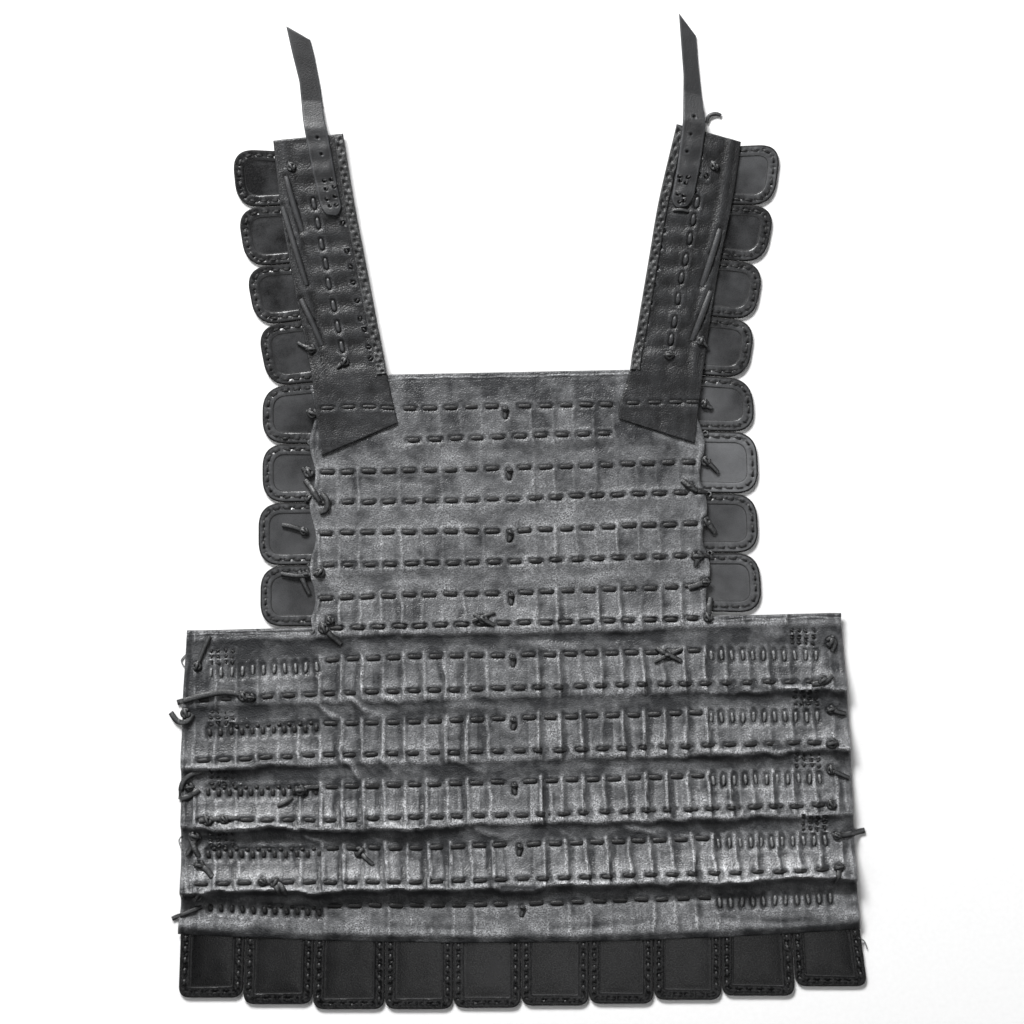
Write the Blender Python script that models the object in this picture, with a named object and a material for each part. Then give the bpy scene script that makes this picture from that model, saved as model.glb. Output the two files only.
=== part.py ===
"""Half of a lamellar body armour, laid flat with its steel plates down and its lining up.

Rows of lamellae rest on the table. A black leather lining lies on them, in two shoulder
panels and one body piece, which is split here into chest and waist at its last chest row.
Leather tabs stand out from under the armholes and the hem.

Tables are in millimetres, and MM turns them into Blender's metres. X runs across the
chest, +Y points to the neck and Z away from the table. The origin lies on the table under
the middle of the outline.
"""

import math
from collections import namedtuple

import bmesh
import bpy
from mathutils import Vector

MM = 0.001
GAP = 0.3

# Steel lamellae
PLATE_PITCH = 18.1
CENTRE_PLATE_HALF = 22.4
PLATE_GAUGE = 1.0
PLATE_STACK = 2.0
SHOULDER_STACK = 2.5
SHOULDER_PLATES = 9
ROW_TOP_LAP = 4.0
ROW_END = 8.0
RAMP_RUN = 6.0
RAMP_PARTING = 0.5

# Leather
LINING_WALL = 2.0
RIB_RISE = 0.9
EDGE_UNDER = 2.8
LACE_UNDER = 3.0
MIDDLE_UNDER = 3.9
CREST_UNDER = 4.7
FOOT_UNDER = 3.4
LACE_RUN = 2.0
SWELL_RUN = 4.5
CREST_RUN = 8.5
FOOT_RUN = 15.0
UNDER_COLUMN_STEP = 4
BINDING_WALL = 1.2
TONGUE_WALL = 2.0

# Tabs
TAB_RIM_TOP = 2.5
TAB_FIELD_TOP = 1.7
TAB_RIM_WIDTH = 9.5
TAB_STEP = 0.8
TAB_UNDERLAP = 7.0
TAB_PARTING = 0.5
ARMHOLE_TAB_RADIUS = 21.0
HEM_TAB_RADIUS = 10.0
LEAST_RADIUS = 2.0
CORNER_STEPS = 4

# Share of a fold's height halfway between the lacing lines, where the lining starts to
# swell, and where the chest is parted from the waist
MIDDLE_SHARE = 0.15
SWELL_SHARE = 0.5
SPLIT_SHARE = 0.7

# Each row of lamellae: its two lacing lines at the middle, how far they rise to the right
# for each mm, and how high the lining bulges under the lower line at each fold station
Row = namedtuple("Row", "name upper lower tilt folds")
FOLD_STATIONS = (-300.0, -240.0, -180.0, -100.0, 0.0, 60.0, 120.0, 180.0, 240.0, 300.0)
CHEST_ROWS = (
    Row("chest_1", 92.4, 65.8, 0.013, (0.1, 0.1, 0.1, 0.1, 0.5, 0.5, 0.1, 0.1, 0.1, 0.1)),
    Row("chest_2", 37.6, 11.0, 0.027, (0.5, 0.5, 0.5, 0.8, 0.6, 0.5, 0.6, 0.6, 0.6, 0.6)),
    Row("chest_3", -17.3, -43.8, 0.025, (0.5, 0.5, 0.5, 0.7, 0.6, 0.7, 0.6, 0.6, 0.6, 0.6)),
    Row("chest_4", -72.2, -98.6, 0.032, (0.5, 0.5, 0.8, 1.2, 1.6, 1.4, 1.0, 0.8, 0.6, 0.6)),
)
WAIST_ROWS = (
    Row("waist_1", -126.7, -155.9, 0.030, (1.5, 1.0, 1.0, 2.0, 1.5, 1.5, 1.0, 1.5, 4.0, 4.5)),
    Row("waist_2", -182.3, -211.6, 0.029, (6.0, 5.0, 2.0, 1.5, 1.5, 1.5, 2.0, 3.5, 4.0, 4.0)),
    Row("waist_3", -238.1, -267.4, 0.025, (8.0, 8.0, 8.0, 7.0, 2.5, 3.0, 4.0, 4.0, 2.5, 2.0)),
    Row("waist_4", -293.8, -323.3, 0.022, (9.0, 9.0, 9.0, 8.0, 6.0, 6.0, 6.5, 8.0, 9.0, 8.0)),
    Row("waist_5", -346.5, -366.0, 0.020, (1.5, 1.0, 1.0, 1.0, 0.5, 0.5, 1.0, 1.0, 1.5, 2.0)),
)

# The waist's top edge, where the chest is parted from it, and its curved hem
SPLIT_Y = -97.7
SPLIT_TILT = 0.030
WAIST_PLATE_TOP_Y = -101.0
HEM_Y = -380.6
HEM_TILT = 0.008
HEM_BOW = 10.0
HEM_HALF_WIDTH = 300.0
LAST_PLATE_END_Y = -361.5

# The neck edge, which drops where the shoulder panels cover it
NECK_Y = 122.5
NECK_TILT = 0.02
NECK_LEFT_X = -113.0
NECK_RIGHT_X = 93.0
NECK_DROP = 8.0
NECK_DROP_RUN = 50.0
NECK_PLATE_SET_BACK = 5.0
NECK_BAND = 5.0

# Side edges: height on the body, left edge, right edge
Edge = namedtuple("Edge", "y left right")
CHEST_EDGES = (
    Edge(125.0, -184.5, 154.0),
    Edge(60.0, -184.5, 158.5),
    Edge(-20.0, -184.0, 161.5),
    Edge(-98.0, -184.5, 166.0),
)
WAIST_EDGES = (
    Edge(-98.0, -294.3, 281.0),
    Edge(-155.0, -298.0, 286.0),
    Edge(-215.0, -300.0, 289.5),
    Edge(-307.0, -300.0, 293.5),
    Edge(-348.0, -300.3, 296.5),
    Edge(-372.0, -303.2, 298.5),
)
CHEST_HALF = 172.5
WAIST_HALF = 290.0
CHEST_RIBS = 9
WAIST_RIBS = 15
EDGE_COLUMN = 5.0
CHEST_PLATE_SET_BACK = 9.0
WAIST_PLATE_SET_BACK = 6.0
SCALLOP = 2.6
SCALLOP_PITCH = 54.8
SCALLOP_TOP_Y = 59.5
BODY_MIDDLE_X = -8.0
SHELF_START = 176.0
SHELF_END = 190.0
SHELF_UNDER = 3.2

# Shoulder panels: outer and inner edge points of each section, and its underside's height
Section = namedtuple("Section", "outer_x outer_y inner_x inner_y under")
LEFT_PANEL = (
    Section(-219.1, 326.2, -157.4, 332.4, 2.8),
    Section(-212.9, 269.3, -148.0, 273.7, 2.8),
    Section(-204.5, 218.2, -138.2, 222.6, 2.8),
    Section(-194.7, 168.1, -128.7, 172.5, 2.8),
    Section(-191.0, 149.0, -124.8, 153.0, 2.8),
    Section(-187.5, 130.0, -121.2, 134.5, 8.0),
    Section(-184.2, 113.5, -118.7, 120.9, 8.0),
    Section(-180.3, 80.0, -114.3, 99.4, 8.0),
    Section(-175.9, 48.4, -109.0, 77.1, 8.0),
)
RIGHT_PANEL = (
    Section(193.0, 325.1, 136.3, 340.8, 2.8),
    Section(184.9, 270.2, 120.6, 273.7, 2.8),
    Section(174.9, 221.8, 112.3, 225.3, 2.8),
    Section(166.4, 171.6, 103.8, 175.1, 2.8),
    Section(163.3, 151.5, 100.2, 154.0, 2.8),
    Section(160.8, 133.0, 96.8, 137.0, 8.0),
    Section(158.8, 119.7, 95.1, 124.6, 8.0),
    Section(154.8, 89.0, 85.4, 92.4, 8.0),
    Section(151.5, 59.5, 85.4, 81.0, 8.0),
)
# Share of a panel's width, and how far its top stands out there
PANEL_COLUMNS = ((0.0, 0.0), (0.12, 0.8), (0.3, 0.3), (0.5, 0.4), (0.68, 0.4), (0.86, 0.3), (1.0, 0.2))
PANEL_PLATE_RISE = 0.35
PANEL_RIBS_FROM = 0.2
PANEL_RIBS_TO = 0.8
PANEL_STEPS_A_SECTION = 4
BINDING_START_TOP = 0.93
BINDING_START = 0.87
BINDING_END = 0.995
BINDING_SECTIONS = 6
PANEL_PLATE_OUTER = 0.15
PANEL_PLATE_INNER = 0.92
PANEL_PLATE_FIRST = 0.15
PANEL_PLATE_LAST = 3.7

# Strap tongues: left and right edge at each station, and the underside's height
Station = namedtuple("Station", "left_x left_y right_x right_y under")
ON_PANEL = 5.9
LEFT_TONGUE = (
    Station(-173.5, 260.5, -161.0, 259.0, ON_PANEL),
    Station(-177.5, 270.0, -158.8, 267.5, ON_PANEL),
    Station(-184.0, 298.0, -164.2, 296.0, ON_PANEL),
    Station(-191.0, 334.0, -170.8, 333.0, ON_PANEL),
    Station(-193.0, 346.0, -173.8, 345.0, 3.0),
    Station(-194.6, 362.0, -175.8, 361.0, 0.0),
    Station(-196.3, 379.0, -177.6, 373.4, 0.0),
    Station(-202.8, 404.8, -183.0, 402.0, 0.0),
    Station(-207.9, 427.7, -186.5, 415.4, 0.0),
)
RIGHT_TONGUE = (
    Station(134.0, 266.4, 147.0, 268.0, ON_PANEL),
    Station(131.5, 275.0, 151.5, 278.0, ON_PANEL),
    Station(136.6, 303.0, 157.0, 305.5, ON_PANEL),
    Station(141.6, 342.0, 161.8, 338.0, ON_PANEL),
    Station(142.0, 354.0, 160.4, 351.0, 3.0),
    Station(142.4, 371.1, 158.6, 366.0, 0.0),
    Station(142.5, 385.0, 156.8, 382.3, 0.0),
    Station(141.3, 400.4, 155.0, 400.0, 0.0),
    Station(138.5, 439.1, 153.6, 418.9, 0.0),
)

# Cuts between the armhole tabs, from the neck down: at the edge they hang from, and outside
Cut = namedtuple("Cut", "base outer")
LEFT_CUTS = (
    Cut(317.7, 319.5), Cut(269.3, 267.0), Cut(218.2, 214.7), Cut(168.1, 162.8), Cut(113.5, 109.1),
    Cut(59.0, 59.4), Cut(7.9, 7.0), Cut(-47.5, -48.4), Cut(-101.6, -102.2),
)
RIGHT_CUTS = (
    Cut(322.0, 323.8), Cut(270.2, 268.8), Cut(221.8, 218.2), Cut(171.6, 167.6), Cut(119.7, 116.6),
    Cut(70.4, 69.5), Cut(15.8, 15.0), Cut(-37.0, -37.0), Cut(-88.9, -89.8),
)
LEFT_TAB_ENDS = (-253.4, -247.2, -239.3, -228.7, -228.7, -228.7, -232.2, -230.5)
RIGHT_TAB_ENDS = (225.4, 218.8, 209.5, 202.5, 204.2, 207.8, 207.8, 210.4)
SHOULDER_TABS = 4

# Hem tabs from the left: the cuts between them along the hem and at their lower ends
HEM_CUTS = (
    Cut(-301.0, -302.9), Cut(-244.0, -246.0), Cut(-183.0, -184.5), Cut(-120.5, -121.0),
    Cut(-60.6, -60.6), Cut(-0.8, -0.8), Cut(59.1, 59.1), Cut(116.2, 116.2), Cut(176.1, 176.1),
    Cut(238.1, 241.0), Cut(298.0, 304.8),
)
HEM_TAB_ENDS = (-429.0, -434.7, -439.1, -439.1, -438.0, -436.0, -434.4, -431.0, -427.3, -419.0)


def clear_scene():
    """Remove every object of the open scene."""
    for item in list(bpy.data.objects):
        bpy.data.objects.remove(item, do_unlink=True)


def make_material(name, colour, roughness, metallic):
    """Return a Principled material."""
    material = bpy.data.materials.new(name)
    material.use_nodes = True
    shader = material.node_tree.nodes["Principled BSDF"]
    shader.inputs["Base Color"].default_value = (*colour, 1.0)
    shader.inputs["Roughness"].default_value = roughness
    shader.inputs["Metallic"].default_value = metallic
    return material


def eased(table, value):
    """Return the second column of a table at a value of its first, eased between its rows."""
    for (start, low), (end, high) in zip(table, table[1:]):
        if value <= end:
            share = min(max((value - start) / (end - start), 0.0), 1.0)
            share = share * share * (3.0 - 2.0 * share)
            return low + (high - low) * share
    return table[-1][1]


def straight(table, value):
    """Return the second column of a table at a value of its first, on straight lines."""
    for (start, low), (end, high) in zip(table, table[1:]):
        if value <= end:
            share = min(max((value - start) / (end - start), 0.0), 1.0)
            return low + (high - low) * share
    return table[-1][1]


def edge_x(edges, y, side):
    """Return where the left or right edge of the body lies at height y."""
    table = [(edge.y, getattr(edge, side)) for edge in reversed(edges)]
    return straight(table, y)


def across(edges, half, offset, y):
    """Return the x of a point that lies offset from the middle on the nominal width."""
    left = edge_x(edges, y, "left")
    right = edge_x(edges, y, "right")
    return (left + right) / 2.0 + offset * (right - left) / 2.0 / half


def fold_rise(row, x):
    """Return how high the lining bulges at x under a row's lower lacing."""
    return eased(tuple(zip(FOLD_STATIONS, row.folds)), x)


def neck_edge(x):
    """Return the y of the chest lining's top edge."""
    past = max(NECK_LEFT_X - x, x - NECK_RIGHT_X, 0.0)
    share = min(past / NECK_DROP_RUN, 1.0)
    return NECK_Y + NECK_TILT * x - NECK_DROP * share * share * (3.0 - 2.0 * share)


def hem_edge(x):
    """Return the y of the waist lining's lower edge."""
    return HEM_Y + HEM_TILT * x + HEM_BOW * (x / HEM_HALF_WIDTH) ** 2


def rib_columns(half, ribs, edge_columns):
    """Return (offset, rib rise) for each column of a lining, from left to right."""
    right = [(0.0, 0.0)]
    for number in range(ribs):
        ridge = CENTRE_PLATE_HALF + PLATE_PITCH * number
        right.append((ridge, RIB_RISE))
        if ridge + PLATE_PITCH / 2.0 < half - EDGE_COLUMN:
            right.append((ridge + PLATE_PITCH / 2.0, 0.0))
    if edge_columns:
        right.append((half - EDGE_COLUMN, 0.0))
    right.append((half, 0.0))
    left = [(-offset, rise) for offset, rise in reversed(right[1:])]
    return left + right


def add_rows(mesh, points):
    """Add a grid of points and the faces between them, and return its vertices."""
    rows = [[mesh.verts.new(Vector(point) * MM) for point in row] for row in points]
    for near, far in zip(rows, rows[1:]):
        for first in range(len(near) - 1):
            mesh.faces.new((near[first], near[first + 1], far[first + 1], far[first]))
    return rows


def finish_object(name, mesh, material):
    """Turn a bmesh into an object whose faces point out."""
    bmesh.ops.recalc_face_normals(mesh, faces=mesh.faces)
    data = bpy.data.meshes.new(name)
    mesh.to_mesh(data)
    mesh.free()
    data.materials.append(material)
    item = bpy.data.objects.new(name, data)
    bpy.context.scene.collection.objects.link(item)
    return item


def slab(name, top_points, under_points, kept, material):
    """Make a closed wall between a fine top grid and an underside with fewer columns.

    kept names the columns of the top that the underside has too.
    """
    mesh = bmesh.new()
    top = add_rows(mesh, top_points)
    under = add_rows(mesh, under_points)
    for row in range(len(top) - 1):
        for column, under_column in ((0, 0), (-1, -1)):
            mesh.faces.new((
                top[row][column], top[row + 1][column],
                under[row + 1][under_column], under[row][under_column],
            ))
    for row in (0, -1):
        for number, (start, end) in enumerate(zip(kept, kept[1:])):
            rim = top[row][start:end + 1]
            mesh.faces.new(rim + [under[row][number + 1], under[row][number]])
    return finish_object(name, mesh, material)


def kept_columns(count, step):
    """Return the columns of a lining that its underside keeps, with both edge columns."""
    return [0] + list(range(1, count - 1, step)) + [count - 2, count - 1]


def row_levels(row, above):
    """Return (y, tilt, underside, row of the fold, share of the fold) down one row.

    above is the row whose end this row's lining starts under, or None at the neck.
    """
    levels = []
    if above:
        levels.append((above.lower - CREST_RUN, above.tilt, CREST_UNDER, above, 1.0))
        levels.append((above.lower - FOOT_RUN, above.tilt, FOOT_UNDER, above, 0.0))
    levels.append((row.upper + LACE_RUN, row.tilt, LACE_UNDER, row, 0.0))
    middle = (row.upper + row.lower) / 2.0
    levels.append((middle, row.tilt, MIDDLE_UNDER, row, MIDDLE_SHARE))
    levels.append((row.lower + SWELL_RUN, row.tilt, CREST_UNDER, row, SWELL_SHARE))
    return levels


def chest_lining(material):
    """Make the chest part of the lining, ribbed by the plates under it."""
    columns = rib_columns(CHEST_HALF, CHEST_RIBS, False)
    levels = [(NECK_Y - NECK_BAND, NECK_TILT, LACE_UNDER, CHEST_ROWS[0], 0.0)]
    for above, row in zip((None,) + CHEST_ROWS[:-1], CHEST_ROWS):
        levels += row_levels(row, above)
    split = SPLIT_Y + GAP / 2.0
    levels.append((split, SPLIT_TILT, CREST_UNDER, CHEST_ROWS[-1], SPLIT_SHARE))
    top = []
    under = []
    for number, (level, tilt, height, fold, share) in enumerate([levels[0]] + levels):
        top_row = []
        under_row = []
        for offset, rise in columns:
            x = across(CHEST_EDGES, CHEST_HALF, offset, level)
            y = level + tilt * x
            at_edge = abs(offset) == CHEST_HALF
            if number < 2:
                y = neck_edge(x) - (NECK_BAND if number else 0.0)
                rise = 0.0
            if at_edge:
                wave = math.cos(2.0 * math.pi * (y - SCALLOP_TOP_Y) / SCALLOP_PITCH)
                x += math.copysign(SCALLOP, offset) * wave
                height_here = EDGE_UNDER
            else:
                height_here = height
            base = height_here + share * fold_rise(fold, x)
            top_row.append((x, y, base + LINING_WALL + rise))
            under_row.append((x, y, base))
        top.append(top_row)
        under.append(under_row)
    kept = kept_columns(len(columns), UNDER_COLUMN_STEP)
    under = [[row[column] for column in kept] for row in under]
    return slab("lining_chest", top, under, kept, material)


def waist_lining(material):
    """Make the waist part of the lining, with the folds between its lacing lines."""
    columns = rib_columns(WAIST_HALF, WAIST_RIBS, True)
    split = SPLIT_Y - GAP / 2.0
    levels = [(split, SPLIT_TILT, CREST_UNDER, CHEST_ROWS[-1], SPLIT_SHARE)]
    for above, row in zip((CHEST_ROWS[-1],) + WAIST_ROWS[:-1], WAIST_ROWS):
        levels += row_levels(row, above)
    levels[-1] = (WAIST_ROWS[-1].lower, WAIST_ROWS[-1].tilt, LACE_UNDER, WAIST_ROWS[-1], 1.0)
    levels.append((HEM_Y, HEM_TILT, EDGE_UNDER, WAIST_ROWS[-1], 0.0))
    top = []
    under = []
    for number, (level, tilt, height, fold, share) in enumerate(levels):
        top_row = []
        under_row = []
        for offset, rise in columns:
            x = across(WAIST_EDGES, WAIST_HALF, offset, level)
            y = level + tilt * x
            if number == len(levels) - 1:
                y = hem_edge(x)
                rise = 0.0
            on_shelf = (abs(x - BODY_MIDDLE_X) - SHELF_START) / (SHELF_END - SHELF_START)
            on_shelf = min(max(on_shelf, 0.0), 1.0)
            here = height
            if number < 2:
                here = height + (SHELF_UNDER - height) * on_shelf
            if abs(offset) == WAIST_HALF:
                here = EDGE_UNDER
            base = here + share * fold_rise(fold, x)
            top_row.append((x, y, base + LINING_WALL + rise))
            under_row.append((x, y, base))
        top.append(top_row)
        under.append(under_row)
    kept = kept_columns(len(columns), UNDER_COLUMN_STEP)
    under = [[row[column] for column in kept] for row in under]
    return slab("lining_waist", top, under, kept, material)


def plate_offsets(half, ribs):
    """Return (offset, height) along a row of plates, each overlapping its outer neighbour."""
    right = [(0.0, PLATE_GAUGE)]
    for number in range(ribs):
        ridge = CENTRE_PLATE_HALF + PLATE_PITCH * number
        if ridge < half:
            right.append((ridge, PLATE_GAUGE))
            right.append((ridge, PLATE_STACK))
    right.append((half, PLATE_GAUGE))
    left = [(-offset, height) for offset, height in reversed(right[1:])]
    return left + right


def lamella_row(name, edges, half, ribs, set_back, lines, material):
    """Make one row of overlapping plates.

    lines are (y at the middle, tilt, lift above the table), from the top down.
    """
    columns = plate_offsets(half - set_back, ribs)
    kept = [0, len(columns) - 1]
    top = []
    under = []
    for level, tilt, lift in lines:
        points = []
        for offset, height in columns:
            x = across(edges, half, offset, level)
            points.append((x, level + tilt * x, lift + height))
        top.append(points)
        under.append([(points[column][0], points[column][1], lift) for column in kept])
    return slab(name, top, under, kept, material)


def lamella_rows(material):
    """Make the four chest rows and the five waist rows."""
    lifted = PLATE_STACK + GAP
    for number, row in enumerate(CHEST_ROWS):
        last = number == len(CHEST_ROWS) - 1
        next_top = WAIST_PLATE_TOP_Y if last else row.lower + ROW_TOP_LAP
        next_tilt = SPLIT_TILT if last else row.tilt
        above = CHEST_ROWS[number - 1]
        first = (above.lower + ROW_TOP_LAP, above.tilt, 0.0)
        if number == 0:
            first = (NECK_Y - NECK_PLATE_SET_BACK - NECK_DROP, 0.0, 0.0)
        lines = (
            first,
            (next_top + RAMP_RUN, next_tilt, 0.0),
            (next_top + RAMP_PARTING, next_tilt, lifted),
            (row.lower - ROW_END, row.tilt, lifted),
        )
        lamella_row(
            "lamellae_" + row.name, CHEST_EDGES, CHEST_HALF, CHEST_RIBS,
            CHEST_PLATE_SET_BACK, lines, material,
        )
    for number, row in enumerate(WAIST_ROWS):
        above = WAIST_ROWS[number - 1]
        first = (above.lower + ROW_TOP_LAP, above.tilt, 0.0)
        if number == 0:
            first = (WAIST_PLATE_TOP_Y, SPLIT_TILT, 0.0)
        lines = (
            first,
            (row.lower + ROW_TOP_LAP + RAMP_RUN, row.tilt, 0.0),
            (row.lower + ROW_TOP_LAP + RAMP_PARTING, row.tilt, lifted),
            (row.lower - ROW_END, row.tilt, lifted),
        )
        if number == len(WAIST_ROWS) - 1:
            lines = (first, (LAST_PLATE_END_Y, HEM_TILT, 0.0))
        lamella_row(
            "lamellae_" + row.name, WAIST_EDGES, WAIST_HALF, WAIST_RIBS,
            WAIST_PLATE_SET_BACK, lines, material,
        )


def panel_section(sections, position):
    """Return the outer point, inner point and underside height at a place along a panel."""
    index = min(int(position), len(sections) - 2)
    share = position - index
    values = [a + (b - a) * share for a, b in zip(sections[index], sections[index + 1])]
    return Vector(values[0:2]), Vector(values[2:4]), values[4]


def shoulder_panel(name, sections, material):
    """Make a shoulder panel of the lining, with its flap that lies on the chest."""
    top = []
    under = []
    steps = (len(sections) - 1) * PANEL_STEPS_A_SECTION
    for step in range(steps + 1):
        outer, inner, height = panel_section(sections, step / PANEL_STEPS_A_SECTION)
        rib = PANEL_PLATE_RISE if step % 2 and step < steps else 0.0
        top_row = []
        for share, rise in PANEL_COLUMNS:
            place = outer.lerp(inner, share)
            lace = rib if PANEL_RIBS_FROM < share < PANEL_RIBS_TO else 0.0
            top_row.append((place.x, place.y, height + LINING_WALL + rise + lace))
        top.append(top_row)
        under.append([(outer.x, outer.y, height), (inner.x, inner.y, height)])
    return slab(name, top, under, [0, len(PANEL_COLUMNS) - 1], material)


def binding(name, sections, material):
    """Make the strip that lies along the inner edge of a shoulder panel."""
    top = []
    under = []
    rise = max(PANEL_COLUMNS[-2][1], PANEL_COLUMNS[-1][1])
    for number in range(BINDING_SECTIONS + 1):
        outer, inner, height = panel_section(sections, number)
        base = height + LINING_WALL + rise + GAP
        start = outer.lerp(inner, BINDING_START if number else BINDING_START_TOP)
        end = outer.lerp(inner, BINDING_END)
        top.append([(start.x, start.y, base + BINDING_WALL), (end.x, end.y, base + BINDING_WALL)])
        under.append([(start.x, start.y, base), (end.x, end.y, base)])
    return slab(name, top, under, [0, 1], material)


def shoulder_lamellae(name, sections, material):
    """Make the plates that lie across a shoulder strap, one over the next."""
    top = [[], []]
    span = PANEL_PLATE_LAST - PANEL_PLATE_FIRST
    for number in range(SHOULDER_PLATES):
        for end, height in ((0, SHOULDER_STACK), (1, SHOULDER_STACK - PLATE_GAUGE)):
            position = PANEL_PLATE_FIRST + span * (number + end) / SHOULDER_PLATES
            outer, inner, _ = panel_section(sections, position)
            for row, share in zip(top, (PANEL_PLATE_OUTER, PANEL_PLATE_INNER)):
                place = outer.lerp(inner, share)
                row.append((place.x, place.y, height))
    kept = list(range(0, 2 * SHOULDER_PLATES, 2)) + [2 * SHOULDER_PLATES - 1]
    under = [[(row[column][0], row[column][1], 0.0) for column in kept] for row in top]
    return slab(name, top, under, kept, material)


def tongue(name, stations, material):
    """Make a strap tongue, which lies on its panel and runs out over the top edge."""
    top = []
    under = []
    for place in stations:
        left = Vector((place.left_x, place.left_y, place.under))
        right = Vector((place.right_x, place.right_y, place.under))
        lift = Vector((0.0, 0.0, TONGUE_WALL))
        under.append([left, right])
        top.append([left + lift, right + lift])
    return slab(name, top, under, [0, 1], material)


def rounded_corner(before, corner, after, radius):
    """Return the points of a rounded corner between two straight sides."""
    start = corner + (before - corner).normalized() * radius
    end = corner + (after - corner).normalized() * radius
    points = []
    for step in range(CORNER_STEPS + 1):
        share = step / CORNER_STEPS
        points.append(start.lerp(corner, share).lerp(corner.lerp(end, share), share))
    return points


def tab_outline(corners, radius, inset):
    """Return a tab's outline from base to base, set in from its free sides."""
    base_a, tip_a, tip_b, base_b = corners
    out_a = (tip_a - base_a).normalized()
    out_b = (tip_b - base_b).normalized()
    side = (base_b - base_a).normalized()
    start = base_a - out_a * TAB_UNDERLAP + side * inset
    first = tip_a - out_a * inset + side * inset
    second = tip_b - out_b * inset - side * inset
    end = base_b - out_b * TAB_UNDERLAP - side * inset
    rounding = max(radius - inset, LEAST_RADIUS)
    points = [start]
    points += rounded_corner(start, first, second, rounding)
    points += rounded_corner(first, second, end, rounding)
    return points + [end]


def tab(name, corners, radius, material):
    """Make a leather tab with a raised rim on its three free sides."""
    mesh = bmesh.new()
    rings = (
        (0.0, 0.0), (0.0, TAB_RIM_TOP), (TAB_RIM_WIDTH, TAB_RIM_TOP),
        (TAB_RIM_WIDTH + TAB_STEP, TAB_FIELD_TOP),
    )
    points = []
    for inset, height in rings:
        outline = tab_outline(corners, radius, inset)
        points.append([(point.x, point.y, height) for point in outline])
    rows = add_rows(mesh, points)
    mesh.faces.new(rows[0])
    mesh.faces.new(rows[-1])
    mesh.faces.new([row[0] for row in rows] + [row[-1] for row in reversed(rows)])
    return finish_object(name, mesh, material)


def armhole_tabs(side, cuts, ends, sections, edges, material):
    """Make the tabs of one armhole, four under the shoulder panel and four under the chest."""
    outward = -1.0 if side == "left" else 1.0
    panel_edge = [(section.outer_y, section.outer_x) for section in reversed(sections)]
    for number, end_x in enumerate(ends):
        on_shoulder = number < SHOULDER_TABS
        corners = []
        for cut, shift in ((cuts[number], -TAB_PARTING), (cuts[number + 1], TAB_PARTING)):
            base_y = cut.base + shift
            if on_shoulder:
                base_x = straight(panel_edge, base_y)
            else:
                base_x = edge_x(edges, base_y, side)
            corners.append((Vector((base_x, base_y)), cut.outer + shift))
        (base_a, outer_a), (base_b, outer_b) = corners
        reach = outward * (end_x - (base_a.x + base_b.x) / 2.0)
        tip_a = Vector((base_a.x + outward * reach, outer_a))
        tip_b = Vector((base_b.x + outward * reach, outer_b))
        place = "shoulder" if on_shoulder else "chest"
        name = f"tab_{place}_{side}_{number % SHOULDER_TABS + 1}"
        tab(name, (base_a, tip_a, tip_b, base_b), ARMHOLE_TAB_RADIUS, material)


def hem_tabs(material):
    """Make the ten tabs under the hem."""
    for number, end_y in enumerate(HEM_TAB_ENDS):
        first = HEM_CUTS[number]
        second = HEM_CUTS[number + 1]
        left = first.base + TAB_PARTING
        right = second.base - TAB_PARTING
        corners = (
            Vector((left, hem_edge(left))),
            Vector((first.outer + TAB_PARTING, end_y)),
            Vector((second.outer - TAB_PARTING, end_y)),
            Vector((right, hem_edge(right))),
        )
        tab(f"tab_hem_{number + 1:02d}", corners, HEM_TAB_RADIUS, material)


def main():
    """Build the armour from the table up."""
    clear_scene()
    steel = make_material("lamella_steel", (0.32, 0.32, 0.33), 0.35, 1.0)
    lining = make_material("lining_leather", (0.045, 0.045, 0.047), 0.5, 0.0)
    strap = make_material("strap_leather", (0.03, 0.03, 0.032), 0.45, 0.0)
    edging = make_material("tab_leather", (0.02, 0.02, 0.022), 0.42, 0.0)
    lamella_rows(steel)
    shoulder_lamellae("lamellae_shoulder_left", LEFT_PANEL, steel)
    shoulder_lamellae("lamellae_shoulder_right", RIGHT_PANEL, steel)
    chest_lining(lining)
    waist_lining(lining)
    shoulder_panel("panel_shoulder_left", LEFT_PANEL, lining)
    shoulder_panel("panel_shoulder_right", RIGHT_PANEL, lining)
    binding("binding_shoulder_left", LEFT_PANEL, edging)
    binding("binding_shoulder_right", RIGHT_PANEL, edging)
    tongue("strap_tongue_left", LEFT_TONGUE, strap)
    tongue("strap_tongue_right", RIGHT_TONGUE, strap)
    armhole_tabs("left", LEFT_CUTS, LEFT_TAB_ENDS, LEFT_PANEL, CHEST_EDGES, edging)
    armhole_tabs("right", RIGHT_CUTS, RIGHT_TAB_ENDS, RIGHT_PANEL, CHEST_EDGES, edging)
    hem_tabs(edging)


main()
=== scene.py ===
"""Looks of half a lamellar armour that lies plates down, with its laced leather lining up.

Sizes are in millimetres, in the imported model's frame: X across the chest, +Y to the neck
and Z up from the table. MM turns them into metres where a mesh is made. Only the studio's
own sizes are in metres.
"""

import logging
import math
from dataclasses import dataclass, field
from enum import Enum
from typing import Callable, Sequence

import bpy
import numpy as np
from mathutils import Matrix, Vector


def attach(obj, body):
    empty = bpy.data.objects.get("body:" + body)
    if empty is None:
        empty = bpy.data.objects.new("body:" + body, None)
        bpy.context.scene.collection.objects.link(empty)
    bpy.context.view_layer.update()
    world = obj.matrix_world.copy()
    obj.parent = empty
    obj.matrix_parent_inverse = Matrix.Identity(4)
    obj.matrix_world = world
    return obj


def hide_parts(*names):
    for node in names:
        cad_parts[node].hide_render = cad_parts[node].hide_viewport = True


MM = 0.001
BODY = "root"
# Vertex attribute of how light the leather is painted: its rubbing, and painted light and shade
WEAR_AND_SHADE = "wear_and_shade"
LOG = logging.getLogger("armour")

Point = tuple[float, float]
Array = np.ndarray
Mesh = bpy.types.Object
Material = bpy.types.Material
Ground = Callable[[Array, Array], Array]

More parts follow.
